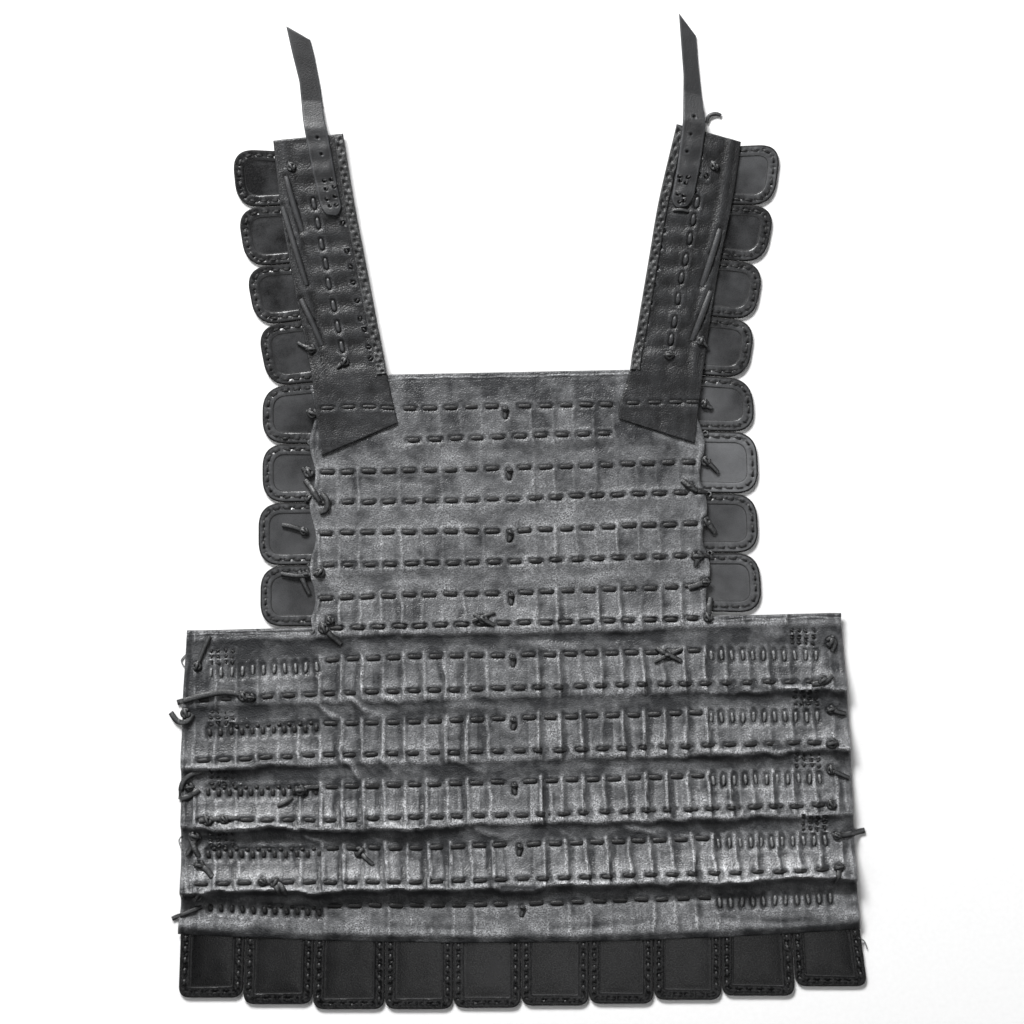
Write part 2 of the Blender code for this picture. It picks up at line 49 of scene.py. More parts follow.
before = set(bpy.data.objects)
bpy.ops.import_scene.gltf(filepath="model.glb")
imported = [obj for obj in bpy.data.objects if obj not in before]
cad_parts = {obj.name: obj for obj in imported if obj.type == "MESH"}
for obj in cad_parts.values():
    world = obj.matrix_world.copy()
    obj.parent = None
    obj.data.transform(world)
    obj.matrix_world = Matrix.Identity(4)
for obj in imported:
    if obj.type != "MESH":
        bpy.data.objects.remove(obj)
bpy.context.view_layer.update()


class Slot(Enum):
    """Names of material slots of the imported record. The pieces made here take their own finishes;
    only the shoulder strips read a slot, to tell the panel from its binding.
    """

    LINING = "lining_leather"
    STRAP = "strap_leather"
    TAB = "tab_leather"


# ---- small number tools ----


def linear(hex_colour: str) -> tuple[float, float, float, float]:
    """Turn an sRGB hex colour into Blender's linear colour.

    Args:
        hex_colour: Colour such as "#2a2b2d".

    Returns:
        Linear red, green and blue, and an alpha of 1.
    """
    parts = [int(hex_colour[start:start + 2], 16) / 255.0 for start in (1, 3, 5)]
    curve = [part / 12.92 if part <= 0.04045 else ((part + 0.055) / 1.055) ** 2.4
             for part in parts]
    return (curve[0], curve[1], curve[2], 1.0)


def smooth(value: Array, start: float, end: float) -> Array:
    """Return a soft step from 0 at start to 1 at end."""
    share = np.clip((value - start) / (end - start), 0.0, 1.0)
    return share * share * (3.0 - 2.0 * share)


def hump(value: Array, middle: float, width: float) -> Array:
    """Return a soft hump that is 1 at the middle value."""
    return np.exp(-((value - middle) / width) ** 2)


def rolled(distance: Array, rolls: Sequence[tuple[float, float, float]]) -> Array:
    """Return the height of rolls and hollows, each given by its distance, width and height."""
    return sum(height * hump(distance, at, width) for at, width, height in rolls)


def run_along(path: Array) -> Array:
    """Return how far along a path each of its points lies."""
    return np.r_[0.0, np.cumsum(np.hypot(*np.diff(path, axis=0).T))]


def curve_through(knots: Sequence[Point], value: Array) -> Array:
    """Follow a smooth curve that never overshoots its knots.

    Args:
        knots: Pairs of place and height, in any order.
        value: Places to read the curve at.

    Returns:
        The curve's height at each place.
    """
    table = np.array(sorted(knots), float)
    place, height = table[:, 0], table[:, 1]
    run = np.diff(place)
    rise = np.diff(height) / run
    slope = np.zeros(len(place))
    same = rise[:-1] * rise[1:] > 0.0
    both = np.where(same, rise[:-1] + rise[1:], 1.0)
    slope[1:-1] = np.where(same, 2.0 * rise[:-1] * rise[1:] / both, 0.0)
    value = np.clip(value, place[0], place[-1])
    index = np.clip(np.searchsorted(place, value) - 1, 0, len(run) - 1)
    share = (value - place[index]) / run[index]
    square, cube = share ** 2, share ** 3
    return (
        (2 * cube - 3 * square + 1) * height[index]
        + (cube - 2 * square + share) * run[index] * slope[index]
        + (3 * square - 2 * cube) * height[index + 1]
        + (cube - square) * run[index] * slope[index + 1]
    )


def bend(steps: Array, values: Array, at: Array) -> Array:
    """Return values on a smooth curve through the given ones.

    Args:
        steps: Rising places of the given values.
        values: The given values.
        at: Places to read the curve at.

    Returns:
        The curve's value at each place.
    """
    slope = np.gradient(values, steps)
    index = np.clip(np.searchsorted(steps, at) - 1, 0, len(steps) - 2)
    run = steps[index + 1] - steps[index]
    t = (at - steps[index]) / run
    return (
        (2 * t ** 3 - 3 * t ** 2 + 1) * values[index]
        + (t ** 3 - 2 * t ** 2 + t) * run * slope[index]
        + (3 * t ** 2 - 2 * t ** 3) * values[index + 1]
        + (t ** 3 - t ** 2) * run * slope[index + 1]
    )


def ripple(x: Array, y: Array, width: float, length: float, seed: int) -> Array:
    """Return soft uneven waves between -1 and 1, the same each run.

    Args:
        x: Places across.
        y: Places along.
        width: Size of a wave across.
        length: Size of a wave along.
        seed: Number that picks the waves.

    Returns:
        The waves' height at each place.
    """
    size = 97
    table = np.random.default_rng(seed).uniform(-1.0, 1.0, (size, size))
    across, along = x / width + 500.0, y / length + 500.0
    column, row = np.floor(across).astype(int), np.floor(along).astype(int)
    s, t = across - column, along - row
    s, t = s * s * (3 - 2 * s), t * t * (3 - 2 * t)
    near = table[row % size, column % size] * (1 - s) + table[row % size, (column + 1) % size] * s
    far = (
        table[(row + 1) % size, column % size] * (1 - s)
        + table[(row + 1) % size, (column + 1) % size] * s
    )
    return near * (1 - t) + far * t


def spaced(start: float, end: float, step: float, edge: Sequence[float] = ()) -> Array:
    """Return even places from start to end, with finer ones set in from both ends.

    Args:
        start: First place.
        end: Last place.
        step: Largest space between two places.
        edge: Distances from each end for the finer places.

    Returns:
        The places in order.
    """
    sign = 1.0 if end > start else -1.0
    rim = edge[-1] if edge else 0.0
    count = max(int(math.ceil((abs(end - start) - 2 * rim) / step)), 1)
    middle = np.linspace(start + sign * rim, end - sign * rim, count + 1)
    first = [start + sign * place for place in (0.0, *edge[:-1])] if edge else []
    last = [end - sign * place for place in reversed((0.0, *edge[:-1]))] if edge else []
    return np.array([*first, *middle, *last])


# ---- meshes ----


def make_piece(name: str, points: Array, faces: Sequence[Sequence[int]],
               material: Material, sharp: float = 50.0,
               wear_and_shade: Array | None = None) -> Mesh:
    """Make one smooth-shaded piece that rides on the armour.

    Args:
        name: Name of the piece.
        points: Its vertices in millimetres.
        faces: Vertex numbers of each face.
        material: Finish of the piece.
        sharp: Angle in degrees from which an edge is sharp.
        wear_and_shade: How rubbed its leather is at each vertex, with its painted light and shade,
            if it is uneven.

    Returns:
        The new object.
    """
    data = bpy.data.meshes.new(name)
    data.from_pydata((np.asarray(points, float) * MM).tolist(), [], faces)
    data.polygons.foreach_set("use_smooth", [True] * len(data.polygons))
    data.set_sharp_from_angle(angle=math.radians(sharp))
    data.materials.append(material)
    if wear_and_shade is not None:
        values = data.attributes.new(WEAR_AND_SHADE, "FLOAT", "POINT").data
        values.foreach_set("value", wear_and_shade.astype(np.float32))
    data.update()
    item = bpy.data.objects.new(name, data)
    bpy.context.scene.collection.objects.link(item)
    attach(item, BODY)
    return item


@dataclass
class Shell:
    """A closed leather shell between a fine upper face and a coarser under face."""

    x: Array
    y: Array
    top: Array
    under: Array
    rows: list[int]
    columns: list[int]

    def points_and_faces(self) -> tuple[Array, list[list[int]]]:
        """Join the upper face and the under face with walls.

        Returns:
            The shell's points and faces, wound so that they point out.
        """
        count = self.x.shape[1]
        number = np.arange(self.x.size).reshape(self.x.shape)
        points = [np.stack([self.x, self.y, self.top], -1).reshape(-1, 3)]
        faces: list[list[int]] = []
        kept = np.ix_(self.rows, self.columns)
        points.append(np.stack([self.x[kept], self.y[kept], self.under[kept]], -1).reshape(-1, 3))
        lower = np.arange(len(points[1])).reshape(len(self.rows), len(self.columns)) + self.x.size
        last_row, last_column = len(self.rows) - 2, len(self.columns) - 2
        for i, (top, base) in enumerate(zip(self.rows, self.rows[1:])):
            for j, (left, right) in enumerate(zip(self.columns, self.columns[1:])):
                for row in range(top, base):
                    for here in range(row * count + left, row * count + right):
                        faces.append([here, here + count, here + count + 1, here + 1])
                a, b = int(lower[i, j]), int(lower[i, j + 1])
                c, d = int(lower[i + 1, j + 1]), int(lower[i + 1, j])
                faces.append([a, b, c, d])
                if i == 0:
                    faces.append([*number[top, left:right + 1].tolist(), b, a])
                if i == last_row:
                    faces.append([*number[base, left:right + 1][::-1].tolist(), d, c])
                if j == 0:
                    faces.append([*number[top:base + 1, left][::-1].tolist(), a, d])
                if j == last_column:
                    faces.append([*number[top:base + 1, right].tolist(), c, b])
        return np.concatenate(points), faces

    def spread(self, wear_and_shade: Array) -> Array:
        """Return the wear and painted light and shade of every point, from that of the upper face.
        """
        return np.concatenate([wear_and_shade.ravel(), np.zeros(len(self.rows) * len(self.columns))])


def every(count: int, step: int, also: Sequence[int] = ()) -> list[int]:
    """Return every step-th number under count, with the last one and some more."""
    return sorted({*range(0, count, step), count - 1, *also})


# ---- finishes ----


def add_node(tree: bpy.types.NodeTree, kind: str, settings: dict | None = None,
             links: dict | None = None) -> bpy.types.Node:
    """Add a shader node with its settings and the links into it.

    Args:
        tree: Node tree that takes the node.
        kind: Node type without its first word.
        settings: Values by property name, input name or input number.
        links: Sockets by the name or number of the input that they feed.

    Returns:
        The new node.
    """
    node = tree.nodes.new("ShaderNode" + kind)
    for key, value in (settings or {}).items():
        if isinstance(key, str) and hasattr(node, key):
            setattr(node, key, value)
        else:
            node.inputs[key].default_value = value
    for key, socket in (links or {}).items():
        tree.links.new(socket, node.inputs[key])
    return node


@dataclass(frozen=True)
class LeatherFinish:
    """Chrome-tanned cowhide, drum dyed black and rubbed by the plates behind it."""

    name: str
    dye: str
    # Colour of rubbed leather, also used for the painted light
    rubbed_and_lit: str
    roughness: float
    grain_mm: float
    grain_depth_mm: float
    sparkle: float
    blotch_mm: float

    def material(self) -> Material:
        """Build the finish: dye with rubbed places and painted light and shade, pebbled grain and
        the painted glints of its sparkle.

        Returns:
            The new material.
        """
        material = bpy.data.materials.new(self.name)
        material.use_nodes = True
        tree = material.node_tree
        shader = tree.nodes["Principled BSDF"]
        place = add_node(tree, "TexCoord").outputs["Object"]
        # The real grain is 0.4 mm across. It is drawn coarser, so that it shows at all.
        grain = add_node(tree, "TexVoronoi", {
            "feature": "SMOOTH_F1", "Scale": 1.0 / (self.grain_mm * MM), "Smoothness": 0.3,
        }, {"Vector": place})
        pores = add_node(tree, "TexNoise", {
            "Scale": 1.0 / (self.grain_mm * MM), "Detail": 2.0, "Roughness": 0.75,
        }, {"Vector": place})
        # Hands and plates have rubbed some of the dye off. The same attribute also carries painted
        # light and shade: it is highest on crests and ribs, partly a painted highlight, and lowest
        # in hollows and painted fold shadows
        blotch = add_node(tree, "TexNoise", {
            "Scale": 1.0 / (self.blotch_mm * MM), "Detail": 6.0, "Roughness": 0.65,
        }, {"Vector": place})
        worn_and_shaded = add_node(tree, "Attribute", {"attribute_name": WEAR_AND_SHADE})
        patch = add_node(tree, "MapRange", {
            "From Min": 0.35, "From Max": 0.72, "To Min": -0.12, "To Max": 0.3,
        }, {"Value": blotch.outputs["Fac"]})
        rub_and_shade = add_node(tree, "Math", {"operation": "ADD", "use_clamp": True}, {
            0: worn_and_shaded.outputs["Fac"], 1: patch.outputs["Result"],
        })
        tint = add_node(tree, "Mix", {
            "data_type": "RGBA", 6: linear(self.dye), 7: linear(self.rubbed_and_lit),
        }, {0: rub_and_shade.outputs[0]})
        # Painted glints: the grain's sparkle is painted into the colour as bright specks, with
        # darker pores between
        glint_specks = add_node(tree, "MapRange", {
            "From Min": 0.36, "From Max": 0.66, "To Min": 1.0 - 0.55 * self.sparkle,
            "To Max": 1.0 + 0.9 * self.sparkle,
        }, {"Value": pores.outputs["Fac"]})
        # Hardly rubbed leather is smooth and even, and so is leather in painted shade: the painted
        # glints come with the rubbing and the painted light
        amount = add_node(tree, "MapRange", {
            "From Min": 0.1, "From Max": 0.45, "To Min": 0.12, "To Max": 1.0,
        }, {"Value": rub_and_shade.outputs[0]})
        shade = add_node(tree, "Mix", {"data_type": "RGBA", "blend_type": "MULTIPLY"}, {
            0: amount.outputs["Result"], 6: tint.outputs[2], 7: glint_specks.outputs["Result"],
        })
        uneven = add_node(tree, "MapRange", {
            "From Min": 0.3, "From Max": 0.7,
            "To Min": self.roughness + 0.13, "To Max": self.roughness - 0.07,
        }, {"Value": pores.outputs["Fac"]})
        pebble = add_node(tree, "Bump", {
            "Strength": 1.0, "Distance": self.grain_depth_mm * MM, "invert": True,
        }, {"Height": grain.outputs["Distance"]})
        skin = add_node(tree, "Bump", {
            "Strength": 1.0, "Distance": self.grain_depth_mm * MM,
        }, {"Height": pores.outputs["Fac"], "Normal": pebble.outputs["Normal"]})
        shader.inputs["IOR"].default_value = 1.5
        tree.links.new(shade.outputs[2], shader.inputs["Base Color"])
        tree.links.new(uneven.outputs["Result"], shader.inputs["Roughness"])
        tree.links.new(skin.outputs["Normal"], shader.inputs["Normal"])
        return material


@dataclass(frozen=True)
class SteelFinish:
    """Cold-rolled steel plate, ground with 120 grit along each plate and oiled."""

    name: str
    bright: str
    dull: str
    roughness: float
    scratch_mm: float

    def material(self) -> Material:
        """Build the finish: bright metal with grinding lines and darker oil films.

        Returns:
            The new material.
        """
        material = bpy.data.materials.new(self.name)
        material.use_nodes = True
        tree = material.node_tree
        shader = tree.nodes["Principled BSDF"]
        place = add_node(tree, "TexCoord").outputs["Object"]
        # Grinding lines are 0.1 mm apart. They are drawn ten times as far apart, to show.
        along = add_node(tree, "Mapping", {"Scale": (1.0, 0.04, 1.0)}, {"Vector": place})
        lines = add_node(tree, "TexNoise", {
            "Scale": 1.0 / (self.scratch_mm * MM), "Detail": 4.0, "Roughness": 0.7,
        }, {"Vector": along.outputs["Vector"]})
        film = add_node(tree, "TexNoise", {"Scale": 40.0, "Detail": 5.0}, {"Vector": place})
        tint = add_node(tree, "Mix", {
            "data_type": "RGBA", 6: linear(self.dull), 7: linear(self.bright),
        }, {0: film.outputs["Fac"]})
        rough = add_node(tree, "MapRange", {
            "To Min": self.roughness - 0.1, "To Max": self.roughness + 0.15,
        }, {"Value": lines.outputs["Fac"]})
        cut = add_node(tree, "Bump", {"Strength": 0.4, "Distance": 0.05 * MM}, {
            "Height": lines.outputs["Fac"],
        })
        shader.inputs["Metallic"].default_value = 1.0
        tree.links.new(tint.outputs[2], shader.inputs["Base Color"])
        tree.links.new(rough.outputs["Result"], shader.inputs["Roughness"])
        tree.links.new(cut.outputs["Normal"], shader.inputs["Normal"])
        return material


class Finishes:
    """The armour's finishes, made once and shared."""

    def __init__(self) -> None:
        """Make every finish."""
        # Soft garment leather, worn grey: a broad sheen broken up by the sparkle of its grain
        self.lining = LeatherFinish(
            "worn_lining_leather", "#2f3032", "#a8a9ab", 0.35, 1.4, 0.32, 1.25, 26.0,
        ).material()
        # The same hide, less handled on the shoulders
        self.shoulder = LeatherFinish(
            "shoulder_leather", "#0c0c0d", "#3c3d3f", 0.38, 1.3, 0.24, 0.8, 34.0,
        ).material()
        # Firm strap leather, rolled flat: smooth and even
        self.strap = LeatherFinish(
            "strap_leather", "#161617", "#3e3f41", 0.44, 1.2, 0.12, 0.40, 40.0,
        ).material()
        # Firm smooth leather of the armhole tabs
        self.tab = LeatherFinish(
            "smooth_tab_leather", "#141415", "#747577", 0.27, 1.2, 0.06, 0.2, 70.0,
        ).material()
        # The hem tabs are darker and hardly worn
        self.hem = LeatherFinish(
            "dark_tab_leather", "#040405", "#2b2b2c", 0.27, 1.2, 0.07, 0.25, 70.0,
        ).material()
        # Edging strips: a soft split leather that crumples between its stitches
        self.edging = LeatherFinish(
            "edging_leather", "#0e0e0f", "#545556", 0.42, 1.1, 0.25, 0.9, 14.0,
        ).material()
        # Thongs cut from the hide, dark from their waxing
        self.thong = LeatherFinish(
            "waxed_thong_leather", "#09090a", "#202021", 0.5, 1.1, 0.18, 0.7, 10.0,
        ).material()
        # The same thongs where they stand up and are handled: tails, knots and side stitches, whose
        # lighter top faces are partly a painted highlight
        self.tail = LeatherFinish(
            "rubbed_and_lit_thong_leather", "#0d0d0e", "#4a4b4c", 0.42, 1.2, 0.16, 0.8, 9.0,
        ).material()
        self.pale_thong = LeatherFinish(
            "pale_thong_leather", "#161617", "#7e7f80", 0.42, 1.2, 0.16, 0.9, 7.0,
        ).material()
        # Outer edges of the tabs, dyed black and left dull
        self.edge_dye = LeatherFinish(
            "edge_dye", "#050506", "#111112", 0.78, 1.1, 0.05, 0.3, 20.0,
        ).material()
        # Cut edges and pulled threads, where the undyed core shows as a paler line
        self.cut_edge = LeatherFinish(
            "cut_edge_leather", "#101011", "#3a3a3b", 0.78, 1.0, 0.1, 0.9, 8.0,
        ).material()
        self.steel = SteelFinish("ground_steel", "#b9babc", "#8d8f92", 0.34, 1.0).material()


# ---- the body of the lining ----


@dataclass(frozen=True)
class LacedRow:
    """One row of plates as it shows: its lacing lines, folds, ribs, and the painted shade of its
    gap, which is painted light where it is above zero.
    """

    name: str
    upper: tuple[float, ...]
    lower: tuple[float, ...]
    folds: tuple[float, ...]
    rib: float
    shade: float


STATIONS = (-280.0, -180.0, -100.0, 0.0, 100.0, 180.0, 270.0)
FOLD_STATIONS = (-300.0, -240.0, -180.0, -100.0, 0.0, 60.0, 120.0, 180.0, 240.0, 300.0)
CHEST_ROWS = (
    LacedRow("chest_1", (89.1, 90.5, 89.8, 92.4, 94.0, 95.2, 96.4),
             (57.4, 60.4, 62.4, 65.8, 68.7, 71.1, 73.8),
             (0.2, 0.2, 0.2, 0.3, 0.5, 0.5, 0.3, 0.2, 0.2, 0.2), 0.22, 0.06),
    LacedRow("chest_2", (30.8, 33.6, 35.4, 37.8, 41.5, 43.4, 46.0),
             (3.9, 6.9, 8.2, 10.8, 14.7, 17.1, 19.7),
             (0.3, 0.3, 0.3, 0.3, 0.3, 0.3, 0.3, 0.3, 0.3, 0.3), 0.28, 0.05),
    LacedRow("chest_3", (-22.2, -19.6, -19.0, -17.3, -13.1, -10.6, -8.2),
             (-50.9, -48.2, -46.7, -44.4, -40.9, -38.5, -36.0),
             (0.3, 0.3, 0.3, 0.3, 0.3, 0.4, 0.3, 0.3, 0.3, 0.3), 0.38, 0.06),
    LacedRow("chest_4", (-80.3, -77.2, -74.3, -72.2, -68.5, -65.4, -62.6),
             (-106.1, -103.4, -101.5, -98.8, -96.4, -93.4, -91.0),
             (1.0, 1.2, 1.6, 1.8, 1.6, 1.8, 1.6, 1.4, 1.2, 1.0), 0.65, -0.07),
)
WAIST_ROWS = (
    LacedRow("waist_1", (-136.3, -131.4, -128.7, -127.0, -124.9, -122.6, -120.9),
             (-165.9, -161.2, -158.5, -155.9, -152.6, -151.4, -149.4),
             (1.0, 1.0, 1.0, 1.4, 0.8, 0.8, 1.0, 2.4, 4.4, 4.8), 0.85, -0.1),
    LacedRow("waist_2", (-190.2, -187.3, -186.1, -182.4, -179.6, -177.2, -175.7),
             (-219.1, -215.0, -213.5, -211.3, -208.6, -205.3, -203.4),
             (5.0, 4.4, 2.2, 1.2, 1.0, 1.0, 2.2, 4.0, 5.0, 5.0), 0.95, -0.1),
    LacedRow("waist_3", (-245.6, -243.5, -241.3, -238.2, -235.2, -232.8, -230.3),
             (-271.1, -271.6, -269.6, -267.5, -264.1, -261.2, -258.8),
             (6.0, 8.0, 8.0, 6.6, 2.2, 3.2, 4.4, 4.4, 2.4, 1.8), 1.5, -0.16),
    LacedRow("waist_4", (-298.4, -296.8, -296.6, -293.7, -290.5, -287.9, -285.0),
             (-327.1, -325.9, -325.6, -323.4, -319.8, -317.6, -314.9),
             (9.0, 9.0, 9.0, 8.0, 6.6, 6.6, 7.0, 8.0, 9.0, 8.0), 1.6, -0.5),
)
# The fifth waist row shows one lacing line. The lower one lies under the hem
LAST_LACING = (-349.5, -347.8, -347.3, -346.1, -342.4, -340.1, -336.2)
ROWS = CHEST_ROWS + WAIST_ROWS
# How high a fold is above and below its lower lacing line, as a share of its height
FOLD_SHAPE = (
    (-23.0, 0.0), (-15.0, 0.01), (-12.6, 0.05), (-10.4, 0.24), (-8.3, 0.72), (-6.8, 0.97),
    (-5.8, 1.0), (-4.4, 0.92), (-2.4, 0.83), (0.0, 0.76), (6.0, 0.5), (14.0, 0.16), (22.0, 0.0),
)
# Waves of a loose fold's edge: how far they reach, their width and length, and their seed
FOLD_WAVES = ((2.6, 37.0, 400.0, 60), (1.8, 14.0, 400.0, 80), (0.8, 5.5, 9.0, 90))
HEM_FOLD = (1.5, 1.0, 1.0, 1.0, 0.5, 0.5, 1.0, 1.0, 1.5, 2.0)
HEM_FOLD_SHAPE = ((-14.0, 0.0), (0.0, 1.0), (12.0, 0.0))
# Unevenness of the lining: height, width and length of its waves, and their seed. The slack
# waves die out toward the neck edge, and the fine ones don't
SLACK_WAVES = ((0.42, 46.0, 19.0, 3), (0.30, 21.0, 8.0, 4))
FINE_WAVES = ((0.16, 7.5, 6.0, 5), (0.10, 3.6, 4.2, 6))
# Rolls and hollows along the lining's edges: distance from the edge, width, height
NECK_ROLLS = ((3.2, 1.0, 0.25), (5.4, 1.1, -0.35))
SIDE_ROLLS = ((2.4, 1.5, 0.4), (5.4, 1.2, -0.5))
WING_ROLLS = ((2.2, 1.5, 0.5), (5.2, 1.2, -0.5))
HEM_ROLLS = ((7.0, 4.0, 0.9),)


@dataclass(frozen=True)
class Crease:
    """A soft ridge, or a trough where its rise is below zero, from one point to another."""

    start: Point
    end: Point
    width: float
    rise: float


# Start, end, width and rise of each
CREASES = tuple(Crease(row[:2], row[2:4], *row[4:]) for row in (
    # diagonals between the first two waist rows, left of the middle
    (-186, -168, -160, -182, 3.0, 1.1), (-176, -166, -150, -186, 2.6, -0.9),
    (-158, -160, -134, -176, 2.8, 1.2), (-150, -160, -118, -180, 2.6, -1.1),
    (-128, -158, -106, -172, 3.0, 0.9), (-60, -158, -20, -170, 4.0, -0.8),
    (20, -156, 70, -166, 4.0, -0.7), (-100, -171, -10, -173, 4.5, 0.7),
    # below the second waist row
    (-160, -216, -140, -236, 3.0, 1.2), (-150, -216, -128, -236, 2.8, -1.1),
    (-132, -214, -108, -230, 3.0, 1.0), (-110, -214, -84, -228, 3.2, -0.9),
    (-70, -216, -30, -228, 4.0, 0.8), (40, -214, 96, -226, 4.0, -0.8),
    (-296, -228, -236, -224, 4.0, 1.2), (-270, -232, -214, -236, 4.0, -1.0),
    # the heavy fold under the third waist row, and where it runs out to the right
    (-298, -284, -236, -279, 3.4, 1.5), (-262, -288, -190, -286, 3.6, -1.3),
    (-214, -276, -168, -292, 3.4, 1.4), (-150, -275, -104, -290, 3.6, -1.4),
    (-120, -274, -76, -283, 3.4, 1.2), (-60, -277, -6, -286, 4.0, 0.9),
    (30, -274, 64, -288, 3.6, -1.2), (82, -272, 118, -286, 3.6, 1.3),
    (104, -268, 150, -283, 3.4, -1.2), (160, -268, 206, -274, 3.4, 0.9),
    (216, -266, 286, -270, 3.0, 0.8),
    # the heavy fold under the fourth waist row
    (-296, -334, -252, -338, 3.2, 1.4), (-250, -332, -206, -340, 3.2, -1.2),
    (-200, -333, -150, -337, 3.4, 1.4), (-146, -331, -108, -340, 3.2, -1.2),
    (-90, -330, -36, -335, 3.4, 1.2), (-20, -328, 24, -338, 3.2, -1.0),
    (44, -328, 96, -331, 3.4, 1.2), (110, -327, 150, -335, 3.2, -1.2),
    (166, -325, 224, -328, 3.4, 1.4), (214, -322, 262, -331, 3.2, -1.2),
    (248, -323, 292, -325, 3.0, 1.2),
    # between the rows at the right side of the waist
    (150, -207, 206, -214, 3.4, 1.0), (208, -205, 282, -211, 3.4, -1.0),
    (206, -152, 286, -160, 3.4, 1.2), (170, -158, 230, -168, 3.6, -0.8),
    # long soft waves down the chest, and beside the lacing
    (-150, 28, -60, 26, 5.0, -0.5), (20, 54, 110, 58, 5.0, -0.5),
    (-160, -62, -70, -59, 5.0, -0.6), (10, -55, 130, -50, 5.0, -0.5),
    (-110, -112, -20, -116, 4.5, -1.0), (0, -112, 110, -110, 4.5, -1.0),
    (-10, -118, 70, -119, 4.0, 0.8), (-290, -116, -200, -112, 6.0, 0.6),
    (196, -108, 276, -112, 5.0, 0.5), (-284, -178, -200, -176, 5.0, -0.7),
    # the hem
    (-292, -366, -180, -368, 4.0, -0.6), (-150, -366, -20, -365, 4.0, -0.6),
    (10, -364, 130, -362, 4.0, -0.6), (150, -360, 280, -358, 4.0, -0.6),
))


@dataclass(frozen=True)
class Dent:
    """Where a thong or stitch pulls the leather in."""

    x: float
    y: float
    half_length: float
    half_width: float
    turn: float
    depth: float
    pucker: float = 0.3

    @property
    def reach(self) -> float:
        """Return how far the dent can change the leather."""
        return self.half_length + 3.4 * self.half_width


def pull_in(dents: Sequence[Dent], x: Array, y: Array, height: Array) -> Array:
    """Press dents into a sheet, with the puckers round them.

    Args:
        dents: The dents.
        x: The sheet's places across.
        y: Its places along.
        height: Its upper face before its lacing is pulled tight.

    Returns:
        The upper face with its dents.
    """
    height = height.copy()
    for dent in dents:
        near = (np.abs(x - dent.x) < dent.reach) & (np.abs(y - dent.y) < dent.reach)
        if not near.any():
            continue
        dx, dy = x[near] - dent.x, y[near] - dent.y
        turn = math.radians(dent.turn)
        along = dx * math.cos(turn) + dy * math.sin(turn)
        off = -dx * math.sin(turn) + dy * math.cos(turn)
        past = np.maximum(np.abs(along) - dent.half_length, 0.0)
        far = np.sqrt(past ** 2 + off ** 2) / dent.half_width
        change = -dent.depth * np.exp(-far ** 4) + dent.pucker * hump(far, 1.75, 0.5)
        for end in (-1.0, 1.0):
            hole = np.hypot(along - end * dent.half_length, off) / (dent.half_width * 0.8)
            change -= 0.6 * dent.depth * np.exp(-hole ** 2)
        height[near] += change
    return height


def blurred(values: Array, cells: int) -> Array:
    """Blur a sheet's values.

    Args:
        values: The values by row and column.
        cells: How far the blur reaches to each side.

    Returns:
        The mean round each place, over a square of 2 * cells + 1.
    """
    for axis in (0, 1):
        padding = [(0, 0), (0, 0)]
        padding[axis] = (cells + 1, cells)
        total = np.cumsum(np.pad(values, padding, mode="edge"), axis=axis)
        count = values.shape[axis]
        high = np.take(total, range(2 * cells + 1, 2 * cells + 1 + count), axis=axis)
        values = (high - np.take(total, range(count), axis=axis)) / (2 * cells + 1)
    return values


# Cells over which a ridge and a fold stand out, and the least and most wear of a ridge, with its
# painted shade and highlight
RIDGE_CELLS = 2
FOLD_CELLS = 5
RIDGE_WEAR_AND_SHADE = (-0.4, 0.32)


def wear_and_shade_of(height: Array, calm: float, small: float | Array = 0.5, large: float = 0.055) -> Array:
    """Return how light a sheet is painted: rubbed most on its crests, with painted shade in its
    hollows.

    Args:
        height: The sheet's upper face.
        calm: Wear of a flat place.
        small: Wear and painted highlight for each millimetre of a ridge about as wide as a lace,
            and painted shade for each millimetre of a hollow.
        large: Painted highlight for each millimetre of a fold's crest, and painted shade for each
            millimetre of its hollow.

    Returns:
        The wear and painted light and shade at each point, from 0 to 1.
    """
    near = blurred(height, RIDGE_CELLS)
    # Rubbed lighter on ridges, partly a painted highlight, and painted shade in small hollows
    ridge = np.clip(small * (height - near), *RIDGE_WEAR_AND_SHADE)
    # Painted light and shade of the folds: lighter on their crests, darker in their hollows
    wear_and_shade = calm + ridge + large * (near - blurred(blurred(near, FOLD_CELLS), FOLD_CELLS))
    return np.clip(wear_and_shade, 0.0, 1.0)


@dataclass(frozen=True)
class RubbingAndShading:
    """How much lighter or darker the lining is painted in its different places: its rubbing, and
    painted light and shade on its ridges, dents, rib sides, fold crests and rolled hem.
    """

    calm: float = 0.165
    ridge: float = 0.36
    low_ridge: float = 0.3
    # painted shade inside the dents and painted highlights on their puckers
    dent: float = 0.5
    neck: float = 0.15
    low_right: float = 0.07
    sides: float = 0.05
    left_corner: float = 0.14
    # painted light and shade beside the ribs, partly rubbing
    band: float = 0.055
    # painted shade on the waist folds' crests toward the left and right sides
    left_crest_shade: float = 0.15
    right_crest_shade: float = 0.12
    cut_edge: float = 0.7
    turned_in: float = 0.2
    # painted shade where the hem rolls down
    hem: float = 0.85


